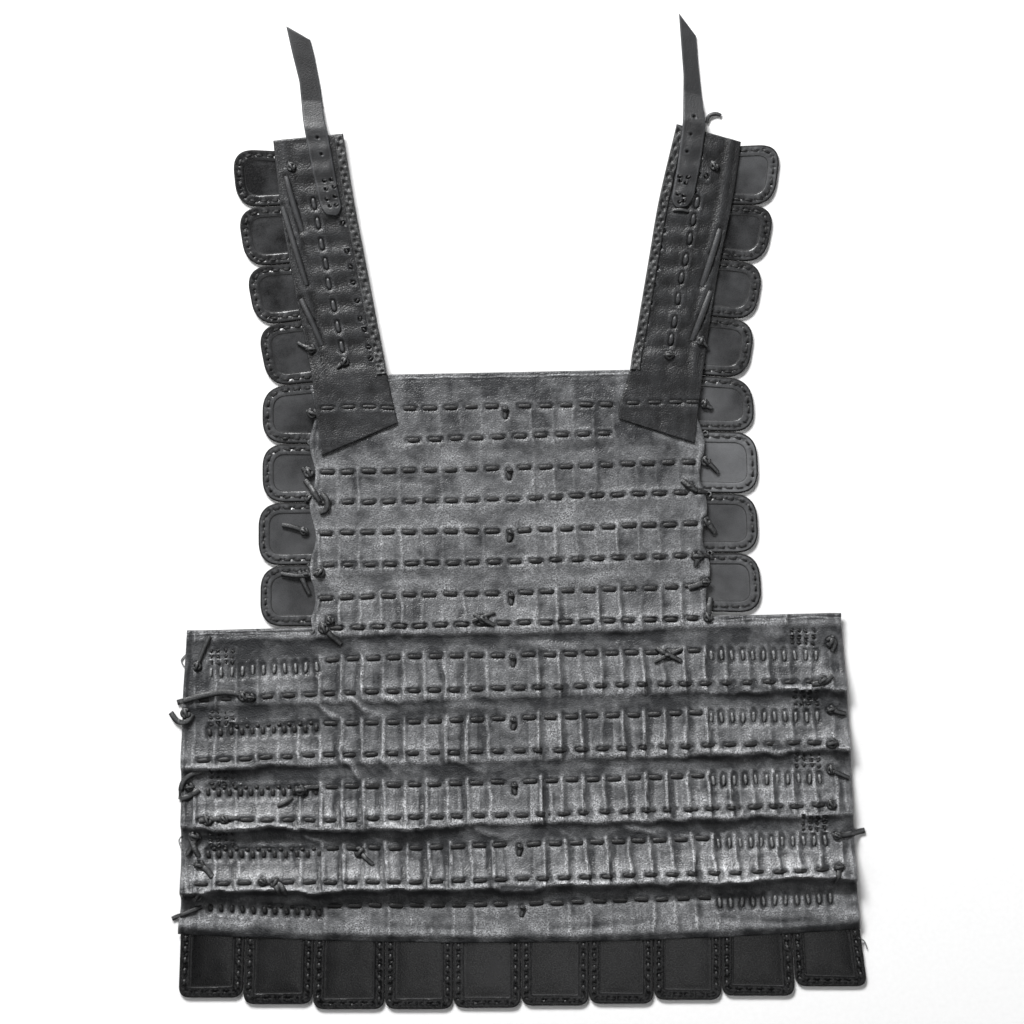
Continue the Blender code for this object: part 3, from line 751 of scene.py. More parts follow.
@dataclass
class BodyLining:
    """The body piece of the lining, from its neck edge down to its hem, in one sheet."""

    wall: float = 2.0
    chest_cell: Point = (1.15, 1.25)
    waist_cell: Point = (1.35, 1.55)
    rim: tuple[float, ...] = (0.5, 1.2, 2.1, 2.8, 3.4, 4.0, 4.7)
    first_rib: float = 22.4
    chest_ribs: int = 8
    waist_ribs: int = 14
    last_rib: float = 0.25
    last_row: float = 20.0
    split: float = -97.7
    split_tilt: float = 0.03
    neck: float = 122.5
    neck_tilt: float = 0.02
    neck_ends: Point = (-113.0, 93.0)
    neck_drop: float = 8.0
    neck_drop_run: float = 50.0
    hem: float = -380.6
    hem_tilt: float = 0.008
    hem_bow: float = 10.0
    hem_half: float = 300.0
    scallop: float = 2.6
    scallop_pitch: float = 54.8
    scallop_top: float = 59.5
    scallop_reach: float = 12.0
    crest: float = 6.5
    # height of the underside: where no plate ends, over the plates, above the hem, at the hem
    bare: float = 3.0
    plated: float = 3.9
    band: float = 3.3
    edge: float = 2.8
    # how the walls round over at the edges: run, depth, least thickness
    rounding: tuple[float, float, float] = (1.7, 0.9, 0.6)
    hem_drop: float = 1.6
    hem_drop_run: float = 9.0
    turned_in: float = 3.6
    rubbing_and_shading: RubbingAndShading = RubbingAndShading()
    chest_edges: tuple = (
        (125.0, -184.5, 154.0), (60.0, -184.5, 158.5), (-20.0, -184.0, 161.5),
        (-98.0, -184.5, 166.0),
    )
    waist_edges: tuple = (
        (-98.0, -294.3, 281.0), (-155.0, -298.0, 286.0), (-215.0, -300.0, 289.5),
        (-307.0, -300.0, 293.5), (-348.0, -300.3, 296.5), (-372.0, -303.2, 298.5),
    )
    # height on the body, x of its middle lacing knot, pitch of the plates there
    spread: tuple = (
        (95.0, -14.5, 18.05), (-17.0, -11.0, 18.1), (-99.0, -9.6, 18.3), (-156.0, -7.5, 18.4),
        (-212.0, -7.0, 18.5), (-267.0, -5.0, 18.6), (-323.0, -2.0, 18.75), (-347.0, 0.0, 18.7),
    )
    dents: list = field(default_factory=list)

    def __post_init__(self) -> None:
        """Work out the levels of the lacing lines and the strength of each rib."""
        lines = [line for row in ROWS for line in (row.upper, row.lower)]
        self.lines = np.array(lines + [LAST_LACING])
        self.levels = self.lines[:, STATIONS.index(0.0)]
        rng = np.random.default_rng(7)
        self.rib_strength = rng.uniform(0.3, 1.4, (len(ROWS) + 1, 2, 16))
        self.base = [(self.neck, self.bare), (self.levels[-1] + 2.0, self.bare),
                     (self.levels[-1] - 17.0, self.band), (self.hem, self.edge)]
        for upper, lower in zip(self.levels[0::2], self.levels[1::2]):
            flat = 1.0 if lower < self.split else 0.0
            self.base += [
                (upper + 2.0, self.plated - 0.9 * flat), ((upper + lower) / 2.0, self.plated),
                (lower + 4.0, self.plated + 0.5 * flat),
                (lower - self.crest, self.plated + 0.4 * flat),
                (lower - 15.0, self.plated - 0.4 * flat),
            ]
        self.marks = np.concatenate([[self.neck], self.levels, [self.hem]])

    def lines_at(self, x: Array) -> Array:
        """Return the y of the neck edge, every lacing line and the hem at each x."""
        lacing = [np.interp(x, STATIONS, line) for line in self.lines]
        return np.array([self.neck_edge(x), *lacing, self.hem_edge(x)])

    def level(self, x: Array, y: Array) -> Array:
        """Return the height that a point would have at the middle of the body.

        Args:
            x: Places across.
            y: Places along.

        Returns:
            The level of each place, between the same lacing lines as the place.
        """
        lines = self.lines_at(x)
        below = np.clip((y[None] < lines).sum(axis=0), 1, len(lines) - 1)
        high = np.take_along_axis(lines, below[None] - 1, 0)[0]
        low = np.take_along_axis(lines, below[None], 0)[0]
        share = (high - y) / (high - low)
        return self.marks[below - 1] + (self.marks[below] - self.marks[below - 1]) * share

    def along(self, level: float, x: Array) -> Array:
        """Follow a line that keeps to one level.

        Args:
            level: The level, which is the line's y at the middle of the body.
            x: Places across.

        Returns:
            The line's y at each x.
        """
        lines = self.lines_at(x)
        below = min(max(int((level < self.marks).sum()), 1), len(self.marks) - 1)
        share = (self.marks[below - 1] - level) / (self.marks[below - 1] - self.marks[below])
        return lines[below - 1] + (lines[below] - lines[below - 1]) * share

    def edges_at(self, level: float, chest: bool) -> Point:
        """Find the side edges at a level.

        Args:
            level: The level.
            chest: Whether the chest's edges are asked for, and not the waist's.

        Returns:
            The x of the left and right edges.
        """
        edges = np.array(self.chest_edges if chest else self.waist_edges)[::-1]
        ends = []
        for side in (1, 2):
            x = edges[0, side]
            for _ in range(3):
                y = self.along(level, np.array([x]))[0]
                x = float(np.interp(y, edges[:, 0], edges[:, side]))
            ends.append(x)
        return ends[0], ends[1]

    def middle(self, y: Array) -> tuple[Array, Array]:
        """Return the x of the middle and the pitch of the plates at each y."""
        table = np.array(self.spread)[::-1]
        return np.interp(y, table[:, 0], table[:, 1]), np.interp(y, table[:, 0], table[:, 2])

    def rib_places(self, x: Array, y: Array, level: Array) -> tuple[Array, Array, Array]:
        """Find the rib next to each place.

        Args:
            x: Places across.
            y: Places along.
            level: Level of each place.

        Returns:
            The rib's height, how far to its right the place lies, and the pitch of the ribs.
        """
        middle, pitch = self.middle(y)
        side = (x > middle).astype(int)
        turn = (np.abs(x - middle) - self.first_rib) / pitch
        number = np.round(turn)
        away = (turn - number) * pitch
        most = np.where(level > self.split, self.chest_ribs, self.waist_ribs)
        real = (number >= 0) & (number <= most)
        index = np.clip(number, 0, self.rib_strength.shape[2] - 1).astype(int)
        height = np.zeros_like(x)
        for place, row in enumerate(ROWS + (None,)):
            upper = self.levels[2 * place]
            lower = self.levels[2 * place + 1] if row else upper - self.last_row
            strength = row.rib if row else self.last_rib
            span = smooth(level, upper + 8.0, upper) * smooth(level, lower - 11.0, lower - 4.0)
            swell = 0.75 + 0.25 * smooth(level, upper, lower)
            height += strength * self.rib_strength[place, side, index] * span * swell
        # The upper left chest lies slack over its plates
        slack = smooth(level, 20.0, 90.0) * smooth(x, 0.0, -90.0)
        height *= real * (1.0 - 0.6 * slack)
        # Few show beside the blocks of side stitches
        left = smooth(x, -270.0, -262.0) * smooth(x, -174.0, -184.0)
        height *= 1.0 - (0.75 * left + 0.35 * smooth(x, 160.0, 170.0)) * (level < self.split)
        wander = 1.3 * ripple(x, y, 9.0, 15.0, 21) + 0.5 * ripple(x, y, 5.0, 6.0, 22)
        height *= 0.85 + 0.4 * ripple(x, y, 8.0, 11.0, 23)
        return height, away + wander, pitch

    def rib_shading_bands(self, x: Array, y: Array, level: Array) -> Array:
        """Return how much lighter the leather is on one side of each rib than on the other: partly
        rubbing, partly painted light and shade of the plate's slope.

        Args:
            x: Places across.
            y: Places along.
            level: Level of each place.

        Returns:
            A value from about -1 to 1 at each place.
        """
        height, away, _ = self.rib_places(x, y, level)
        return height * (hump(away, -4.5, 3.6) - hump(away, 4.5, 3.4))

    def ribs(self, x: Array, y: Array, level: Array) -> Array:
        """Return the height of the ribs where the edges of the plates press through.

        Each plate lies over its outer neighbour, so the lining rises to a rib at the plate's
        edge and drops past it.

        Args:
            x: Places across.
            y: Places along.
            level: Level of each place.

        Returns:
            The ribs' height at each place.
        """
        height, away, pitch = self.rib_places(x, y, level)
        ridge = hump(away, 0.3, 1.0) * (0.9 + 0.6 * ripple(x, y, 5.0, 5.0, 24))
        step = 1.0 / (1.0 + np.exp(-(away - 0.9) / 0.5))
        saw = step * (away / pitch) + (1.0 - step) * (1.0 + away / pitch)
        trough = hump(away, 4.6, 2.6)
        return height * (1.8 * ridge + 1.1 * saw - 1.05 * trough)

    def folds(self, x: Array, y: Array, level: Array) -> Array:
        """Return the height of the soft folds that hang over below each lower lacing.

        Args:
            x: Places across.
            y: Places along.
            level: Level of each place.

        Returns:
            The folds' height at each place.
        """
        height = np.zeros_like(x)
        for number, row in enumerate(ROWS):
            lower = self.levels[2 * number + 1]
            size = curve_through(list(zip(FOLD_STATIONS, row.folds)), x)
            size = size * (1.0 + 0.20 * ripple(x, y, 27.0, 300.0, 40 + number))
            loose = smooth(size, 0.3, 3.0)
            drift = sum(reach * ripple(x, y, width, length, seed + number) * loose
                        for reach, width, length, seed in FOLD_WAVES)
            height += size * curve_through(FOLD_SHAPE, np.clip(level - lower + drift, -23.0, 22.0))
        hem = curve_through(list(zip(FOLD_STATIONS, HEM_FOLD)), x)
        last = self.levels[-1] - self.last_row
        return height + hem * curve_through(HEM_FOLD_SHAPE, np.clip(level - last, -14.0, 12.0))

    def creases(self, x: Array, y: Array) -> Array:
        """Add up the listed creases, each of them slightly S-shaped.

        Args:
            x: Places across.
            y: Places along.

        Returns:
            The creases' height at each place.
        """
        height = np.zeros_like(x)
        for crease in CREASES:
            a, b = np.array(crease.start), np.array(crease.end)
            run = b - a
            length = float(np.hypot(*run))
            along = ((x - a[0]) * run[0] + (y - a[1]) * run[1]) / length
            off = ((x - a[0]) * run[1] - (y - a[1]) * run[0]) / length
            off = off - 1.6 * np.sin(along / length * math.pi * 1.4 + length)
            inside = np.clip(1.0 - (2.0 * along / length - 1.0) ** 2, 0.0, 1.0) ** 0.7
            height += 1.5 * crease.rise * inside * hump(off, 0.0, crease.width)
        return height

    def under(self, x: Array, y: Array) -> Array:
        """Return the height of the lining's underside, which lies on the plates.

        Args:
            x: Places across.
            y: Places along.

        Returns:
            Heights above the table.
        """
        level = self.level(x, y)
        height = curve_through(self.base, level) + 0.97 * self.folds(x, y, level)
        return height - self.shelf(x, level)

    def shelf(self, x: Array, level: Array) -> Array:
        """Return how far the top corners of the waist lie lower than beside the chest."""
        return smooth(np.abs(x + 8.0), 176.0, 190.0) * smooth(level, -114.0, -100.0) * 1.4

    def top(self, x: Array, y: Array) -> Array:
        """Return the height of the lining's upper face, before its lacing pulls it in.

        Args:
            x: Places across.
            y: Places along.

        Returns:
            Heights above the table.
        """
        x, y = np.asarray(x, float), np.asarray(y, float)
        level = self.level(x, y)
        height = curve_through(self.base, level) + self.wall
        height = height + self.folds(x, y, level) + self.ribs(x, y, level) + self.creases(x, y)
        height -= self.shelf(x, level)
        calm = smooth(level, 130.0, 100.0)
        for rise, width, length, seed in SLACK_WAVES:
            height += calm * rise * ripple(x, y, width, length, seed)
        height += 0.35 * smooth(level, 90.0, 100.0) * ripple(x, y, 7.0, 44.0, 8)
        for rise, width, length, seed in FINE_WAVES:
            height += rise * ripple(x, y, width, length, seed)
        return np.maximum(height, self.wall + 2.5)

    def neck_edge(self, x: Array) -> Array:
        """Follow the neck edge, which drops where the shoulder panels cover it.

        Args:
            x: Places across.

        Returns:
            The edge's y at each x.
        """
        past = np.maximum(np.maximum(self.neck_ends[0] - x, x - self.neck_ends[1]), 0.0)
        drop = smooth(past, 0.0, self.neck_drop_run) * self.neck_drop
        return self.neck + self.neck_tilt * x - drop

    def hem_edge(self, x: Array) -> Array:
        """Return the y of the hem at each x."""
        return self.hem + self.hem_tilt * x + self.hem_bow * (x / self.hem_half) ** 2

    def grid(self, chest: bool) -> tuple[Array, Array, list[int]]:
        """Return the x and y of the chest's or the waist's sheet.

        Args:
            chest: Whether it is the chest's sheet.

        Returns:
            The places, and the numbers of the columns at the sides of the chest.
        """
        cell = self.chest_cell if chest else self.waist_cell
        first, last = (self.neck, self.split) if chest else (self.split, self.hem)
        levels = spaced(first, last, cell[1], self.rim)
        outer, inner = self.edges_at(self.split, False), self.edges_at(self.split, True)
        far = inner if chest else outer
        places = spaced(inner[0], inner[1], cell[0], self.rim)
        sides = [0, len(places) - 1]
        if not chest:
            places = spaced(inner[0], inner[1], cell[0])
            rim, count = spaced(outer[0], inner[0], cell[0], self.rim), len(self.rim)
            left = np.concatenate([rim[:count], spaced(rim[count], inner[0], cell[0])[:-1]])
            rim = spaced(outer[1], inner[1], cell[0], self.rim)
            right = np.concatenate([rim[:count], spaced(rim[count], inner[1], cell[0])[:-1]])[::-1]
            sides = [len(left), len(left) + len(places) - 1]
            places = np.concatenate([left, places, right])
        x = np.zeros((len(levels), len(places)))
        y = np.zeros_like(x)
        for number, level in enumerate(levels):
            near = self.edges_at(level, chest)
            x[number] = near[0] + (places - far[0]) * (near[1] - near[0]) / (far[1] - far[0])
            y[number] = self.along(level, x[number])
            if chest:
                fade = float(smooth(np.array(level), self.split, self.split + 9.0))
                for end, sign in ((0, -1.0), (1, 1.0)):
                    turn = 2.0 * math.pi * (y[number] - self.scallop_top)
                    wave = np.cos(turn / self.scallop_pitch)
                    reach = 1.0 - smooth(np.abs(x[number] - near[end]), 0.0, self.scallop_reach)
                    x[number] += sign * self.scallop * wave * fade * reach
        return x, y, sides

    def rubbed_and_lit(self, x: Array, y: Array, plain: Array, laced: Array) -> Array:
        """Return how light the leather is painted away from its edges: its rubbing, and painted
        light and shade.

        Args:
            x: Places across.
            y: Places along.
            plain: The upper face before its lacing pulls it in.
            laced: The upper face with its dents.

        Returns:
            The wear and painted light and shade at each place.
        """
        rub_and_shade = self.rubbing_and_shading
        # Rubbed lighter on the ridges, partly a painted highlight; painted shade inside the dents
        # and painted highlights on their puckers
        small = rub_and_shade.ridge + rub_and_shade.low_ridge * smooth(y, -120.0, -260.0)
        wear_and_shade = wear_and_shade_of(plain, rub_and_shade.calm, small) + rub_and_shade.dent * np.clip(laced - plain, -1.0, 0.14)
        # It is rubbed least at the neck and most low on the right
        wear_and_shade -= rub_and_shade.neck * smooth(y, 0.0, 122.0)
        wear_and_shade += (rub_and_shade.low_right * smooth(0.4 * x - y, 170.0, 380.0)
                 - rub_and_shade.sides * smooth(np.abs(x), 150.0, 280.0))
        wear_and_shade -= rub_and_shade.left_corner * smooth(x, -150.0, -280.0) * smooth(y, -260.0, -120.0)
        level = self.level(x, y)
        # Painted light and shade beside the ribs, partly rubbing as well
        wear_and_shade += rub_and_shade.band * self.rib_shading_bands(x, y, level)
        # Painted shade in the gap below each row, where the fold above casts its shadow, and
        # painted light in the chest's gaps
        for number, row in enumerate(ROWS):
            lower, upper = self.levels[2 * number + 1], self.levels[2 * number + 2]
            reach = upper + (5.0 if number < len(ROWS) - 1 else 1.0)
            span = smooth(level, lower - 4.0, lower - 9.0)
            wear_and_shade += row.shade * span * smooth(level, upper - 2.0, reach)
            if row in WAIST_ROWS:
                # Painted shade on the crest below each waist row's lower lacing, toward the sides
                outer = (rub_and_shade.left_crest_shade * smooth(x, -150.0, -230.0)
                         + rub_and_shade.right_crest_shade * smooth(x, 60.0, 200.0))
                wear_and_shade -= outer * hump(level - lower, -4.0, 4.5)
        return wear_and_shade

    def build(self, chest: bool, material: Material) -> Mesh:
        """Build the chest's or the waist's part of the lining, which is one sheet in the real one.

        Args:
            chest: Whether it is the chest's part.
            material: Finish of the leather.

        Returns:
            The sheet's object.
        """
        x, y, sides = self.grid(chest)
        base = self.under(x, y)
        plain = self.top(x, y)
        top = pull_in(self.dents, x, y, plain)
        wear_and_shade = self.rubbed_and_lit(x, y, plain, top)
        far = np.full_like(x, 99.0)
        edge = np.minimum(x - x[:, :1], x[:, -1:] - x)
        neck = self.neck_edge(x) - y if chest else far
        hem = far if chest else y - self.hem_edge(x)
        wing = far.copy()
        if not chest:
            for columns in (slice(0, sides[0] + 1), slice(sides[1], None)):
                wing[:, columns] = y[:1, columns] - y[:, columns]
        # The cut edge of the turned-in strip shows as a pale line inside the neck and the wings
        for inset in (neck, wing):
            line = (inset - self.turned_in - 0.4 * ripple(x, y, 6.0, 6.0, 31)
                    - 0.9 * ripple(x, y, 17.0, 90.0, 33))
            wear_and_shade += (self.rubbing_and_shading.cut_edge * hump(line, 0.0, 0.6)
                     - self.rubbing_and_shading.turned_in * smooth(-line, 0.6, 1.4))
        wear_and_shade = np.clip(wear_and_shade, 0.0, 1.0)
        # A rolled neck edge, side edges pressed by their stitching, and a hem that rolls down
        for distance, rolls in ((neck, NECK_ROLLS), (edge, SIDE_ROLLS), (wing, WING_ROLLS),
                                (hem, HEM_ROLLS)):
            top += rolled(distance, rolls)
        run, depth, thinnest = self.rounding
        nearest = np.minimum(np.minimum(edge, neck), np.minimum(hem, wing))
        inside = np.clip(1.0 - np.maximum(nearest, 0.0) / run, 0.0, 1.0)
        top = np.maximum(top, base + 1.3) - depth * (1.0 - np.sqrt(1.0 - inside ** 2))
        top -= self.hem_drop * np.clip(1.0 - hem / self.hem_drop_run, 0.0, 1.0) ** 2
        # Painted shade where the hem rolls down: it runs out dark
        wear_and_shade *= 1.0 - self.rubbing_and_shading.hem * smooth(-hem, -self.hem_drop_run, -1.0)
        shell = Shell(x, y, top, np.minimum(base, top - thinnest),
                      every(x.shape[0], 3), every(x.shape[1], 8, sides))
        points, faces = shell.points_and_faces()
        place = "chest" if chest else "waist"
        item = make_piece(f"{place}_lining_sheet", points, faces, material,
                          wear_and_shade=shell.spread(wear_and_shade))
        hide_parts(f"lining_{place}")
        LOG.info("%s: %d faces", item.name, len(faces))
        return item


# ---- thongs and stitches ----


@dataclass
class Thongs:
    """A set of leather thongs that lie on the leather as one piece."""

    name: str
    slot: Slot = Slot.STRAP
    sides: int = 8
    side_roundness: float = 0.6
    face_roundness: float = 0.45
    # value of the top faces: rubbing, partly a painted highlight
    rubbed_and_lit: float = 0.75
    points: list = field(default_factory=list)
    faces: list = field(default_factory=list)
    wear_and_shade: list = field(default_factory=list)

    def add(self, path: Array, width: float, thick: float, taper: float = 0.8) -> None:
        """Add one flat thong with rounded edges.

        Args:
            path: Points along its middle line.
            width: Its width in the middle.
            thick: Its thickness.
            taper: Share of its width at its ends.
        """
        path = np.asarray(path, float)
        run = np.gradient(path, axis=0)
        run /= np.linalg.norm(run, axis=1)[:, None] + 1e-9
        across = np.stack([-run[:, 1], run[:, 0], np.zeros(len(run))], 1)
        length = np.linalg.norm(across, axis=1)[:, None]
        across = np.where(length > 0.05, across / np.maximum(length, 0.05), [[1.0, 0.0, 0.0]])
        up = np.cross(run, across)
        up *= np.where(up[:, 2:3] < 0.0, -1.0, 1.0)
        share = np.linspace(-1.0, 1.0, len(path))
        size = taper + (1.0 - taper) * (1.0 - np.abs(share) ** 2.6)
        start = len(self.points)
        for turn in range(self.sides):
            angle = 2.0 * math.pi * (turn + (0.5 if self.sides % 4 else 0.0)) / self.sides
            c, s = math.cos(angle), math.sin(angle)
            c = math.copysign(abs(c) ** self.side_roundness, c)
            s = math.copysign(abs(s) ** self.face_roundness, s)
            ring = path + across * (size * c * width / 2.0)[:, None]
            ring = ring + up * (size * s * thick / 2.0)[:, None]
            self.points.extend(ring.tolist())
            # The top face is rubbed lighter, and this also stands in as a painted highlight
            self.wear_and_shade.extend([self.rubbed_and_lit if s > 0.9 else 0.0] * len(path))
        count = len(path)
        for turn in range(self.sides):
            here, there = start + turn * count, start + (turn + 1) % self.sides * count
            for step in range(count - 1):
                self.faces.append([here + step, there + step, there + step + 1, here + step + 1])
        self.faces.append([start + turn * count for turn in reversed(range(self.sides))])
        self.faces.append([start + turn * count + count - 1 for turn in range(self.sides)])

    def stitch(self, middle: Point, turn: float, length: float, width: float, thick: float,
               ground: Ground, lift: float = 0.45,
               dive: float = 1.5, steps: int = 9, taper: float = 0.7) -> None:
        """Add one stitch that comes out of a hole, lies on the leather and goes back in.

        Args:
            middle: Where its middle lies.
            turn: Its direction in degrees.
            length: Its length from hole to hole.
            width: Its width.
            thick: Its thickness.
            ground: Gives the leather's height at places.
            lift: How far its middle line lies above the leather.
            dive: How far its ends go down.
            steps: Points along it.
            taper: Share of its width at its ends.
        """
        share = np.linspace(-1.0, 1.0, steps)
        angle = math.radians(turn)
        x = middle[0] + share * length / 2.0 * math.cos(angle)
        y = middle[1] + share * length / 2.0 * math.sin(angle)
        z = ground(x, y) + lift - (lift + dive) * np.abs(share) ** 6
        self.add(np.stack([x, y, z], 1), width, thick, taper)

    def strand(self, places: Sequence[Point], width: float, thick: float,
               ground: Ground, lift: float = 0.9,
               arch: float = 0.0, start_dive: float = 0.0, end_dive: float = 0.0) -> None:
        """Add a loose strand that lies on the leather through some places.

        Args:
            places: Points that it passes.
            width: Its width.
            thick: Its thickness.
            ground: Gives the leather's height at places.
            lift: How far its middle line lies above the leather.
            arch: How far its middle stands up.
            start_dive: How far its start goes down, as into a hole.
            end_dive: How far its end goes down.
        """
        table = np.array(places, float)
        steps = run_along(table)
        count = max(int(steps[-1] / 1.6), 6)
        at = np.linspace(0.0, steps[-1], count)
        if len(table) > 2:
            x, y = (bend(steps, table[:, axis], at) for axis in (0, 1))
        else:
            x, y = (np.interp(at, steps, table[:, axis]) for axis in (0, 1))
        share = at / steps[-1]
        z = ground(x, y)
        smoothed = np.convolve(np.pad(z, 2, mode="edge"), np.ones(5) / 5.0, "valid")
        z = np.maximum(smoothed, z) + lift + arch * np.sin(math.pi * share)
        z -= start_dive * (1.0 - share) ** 6 + end_dive * share ** 6
        self.add(np.stack([x, y, z], 1), width, thick, 0.92)

    def knot(self, middle: Point, turn: float, size: float, ground: Ground) -> None:
        """Add an overhand knot: a round turn with a tight band across it.

        The numbers below are shares of its width, and heights in millimetres.

        Args:
            middle: Where the knot lies.
            turn: Direction of its thong in degrees.
            size: Width across the knot.
            ground: Gives the leather's height at places.
        """
        base = float(ground(np.array([middle[0]]), np.array([middle[1]]))[0])
        angle = math.radians(turn)
        way = np.array([math.cos(angle), math.sin(angle)])
        side = np.array([-math.sin(angle), math.cos(angle)])
        ring = []
        for t in np.linspace(0.15 * math.pi, 1.9 * math.pi, 18):
            place = (np.array(middle) + way * math.cos(t) * size * 0.34
                     + side * math.sin(t) * size * 0.3)
            ring.append(np.array([*place, base + 1.3 + 0.5 * math.sin(1.5 * t)]))
        self.add(np.array(ring), size * 0.36, 1.7, 0.9)
        bar = []
        for s in np.linspace(-1.0, 1.0, 9):
            place = np.array(middle) + way * size * 0.08 * s + side * size * 0.52 * s
            bar.append(np.array([*place, base + 0.7 + 2.0 * math.cos(s * math.pi / 2.0)]))
        self.add(np.array(bar), size * 0.34, 1.5, 0.85)

    def build(self, material: Material) -> Mesh:
        """Build all the thongs as one piece.

        Args:
            material: Finish of the thongs.

        Returns:
            The piece.
        """
        item = make_piece(self.name, np.array(self.points), self.faces, material, 70.0,
                          np.array(self.wear_and_shade))
        LOG.info("%s: %d faces", self.name, len(self.faces))
        return item


@dataclass(frozen=True)
class LacingRun:
    """Where the dashes of one laced row start and end.

    The upper line has a left and a right half, and the lower one is unbroken.
    """

    left: Point
    right: Point
    lower: Point
    count: int


LACING_RUNS = (
    LacingRun((-171.1, -26.5), (2.4, 146.7), (-169.8, 147.0), 18),
    LacingRun((-171.1, -26.5), (2.6, 147.0), (-171.5, 158.0), 19),
    LacingRun((-171.9, -26.2), (2.7, 148.8), (-169.8, 158.4), 19),
    LacingRun((-171.9, -26.2), (4.5, 149.5), (-162.7, 149.2), 18),
    LacingRun((-166.7, -21.0), (5.9, 151.4), (-278.3, 254.4), 30),
    LacingRun((-168.0, -20.5), (6.7, 152.9), (-279.8, 257.0), 30),
    LacingRun((-167.4, -20.9), (7.4, 154.1), (-278.9, 260.6), 30),
    LacingRun((-166.2, -19.0), (11.0, 158.5), (-280.6, 263.7), 30),
    LacingRun((-165.4, -18.3), (12.4, 161.1), (0.0, 0.0), 0),
)
# Vertical stitches at the sides of the waist: first and last one of each block of eleven
SIDE_STITCHES = (
    ((-273.9, -142.6), (-180.5, -137.3)), ((166.4, -127.2), (258.8, -127.2)),
    ((-274.6, -195.1), (-181.2, -191.4)), ((166.4, -181.9), (259.7, -181.3)),
    ((-276.2, -247.6), (-181.2, -247.6)), ((168.2, -237.4), (262.3, -235.8)),
    ((-276.2, -302.2), (-178.6, -302.2)), ((173.3, -292.9), (266.7, -290.0)),
    ((-274.6, -349.4), (-178.6, -353.8)), ((174.3, -345.0), (271.1, -341.3)),
)
CENTRE_KNOTS = (
    (-14.5, 86.5), (-11.4, 32.6), (-10.5, -22.0), (-9.6, -77.4), (-7.8, -132.0),
    (-7.0, -187.4), (-6.5, -244.6), (-2.1, -298.3), (0.1, -352.0),
)
# Left blocks of the lower rows, whose stitches are short. From the numbered stitch on, each
# has a hole beside it
CROWDED_BLOCKS = {2: 3, 4: 1, 6: 1, 8: 6}
HOLE_CLUSTERS = (
    (-263.9, -128.5), (-263.9, -182.2), (-263.9, -235.0), (-263.9, -289.5),
    (247.4, -110.9), (250.0, -164.6), (251.8, -219.1), (257.0, -274.6),
)
FLAP_HIDES = ((-300.0, -112.0), (88.0, 300.0))


@dataclass(frozen=True)
class Stitching:
    """Size of one kind of stitch, and how it lies on the leather."""

    length: float
    width: float
    thick: float
    lift: float
    dive: float
    taper: float = 0.7
    steps: int = 9

    def sew(self, thongs: Thongs, middle: Point, turn: float, ground: Ground,
            longer: float = 1.0, wider: float = 1.0) -> None:
        """Add one such stitch.

        Args:
            thongs: The set that takes it.
            middle: Where its middle lies.
            turn: Its direction in degrees.
            ground: Gives the leather's height at places.
            longer: How many times as long as usual it is.
            wider: How many times as wide as usual it is.
        """
        thongs.stitch(middle, turn, self.length * longer, self.width * wider, self.thick, ground,
                      self.lift, self.dive, self.steps, self.taper)


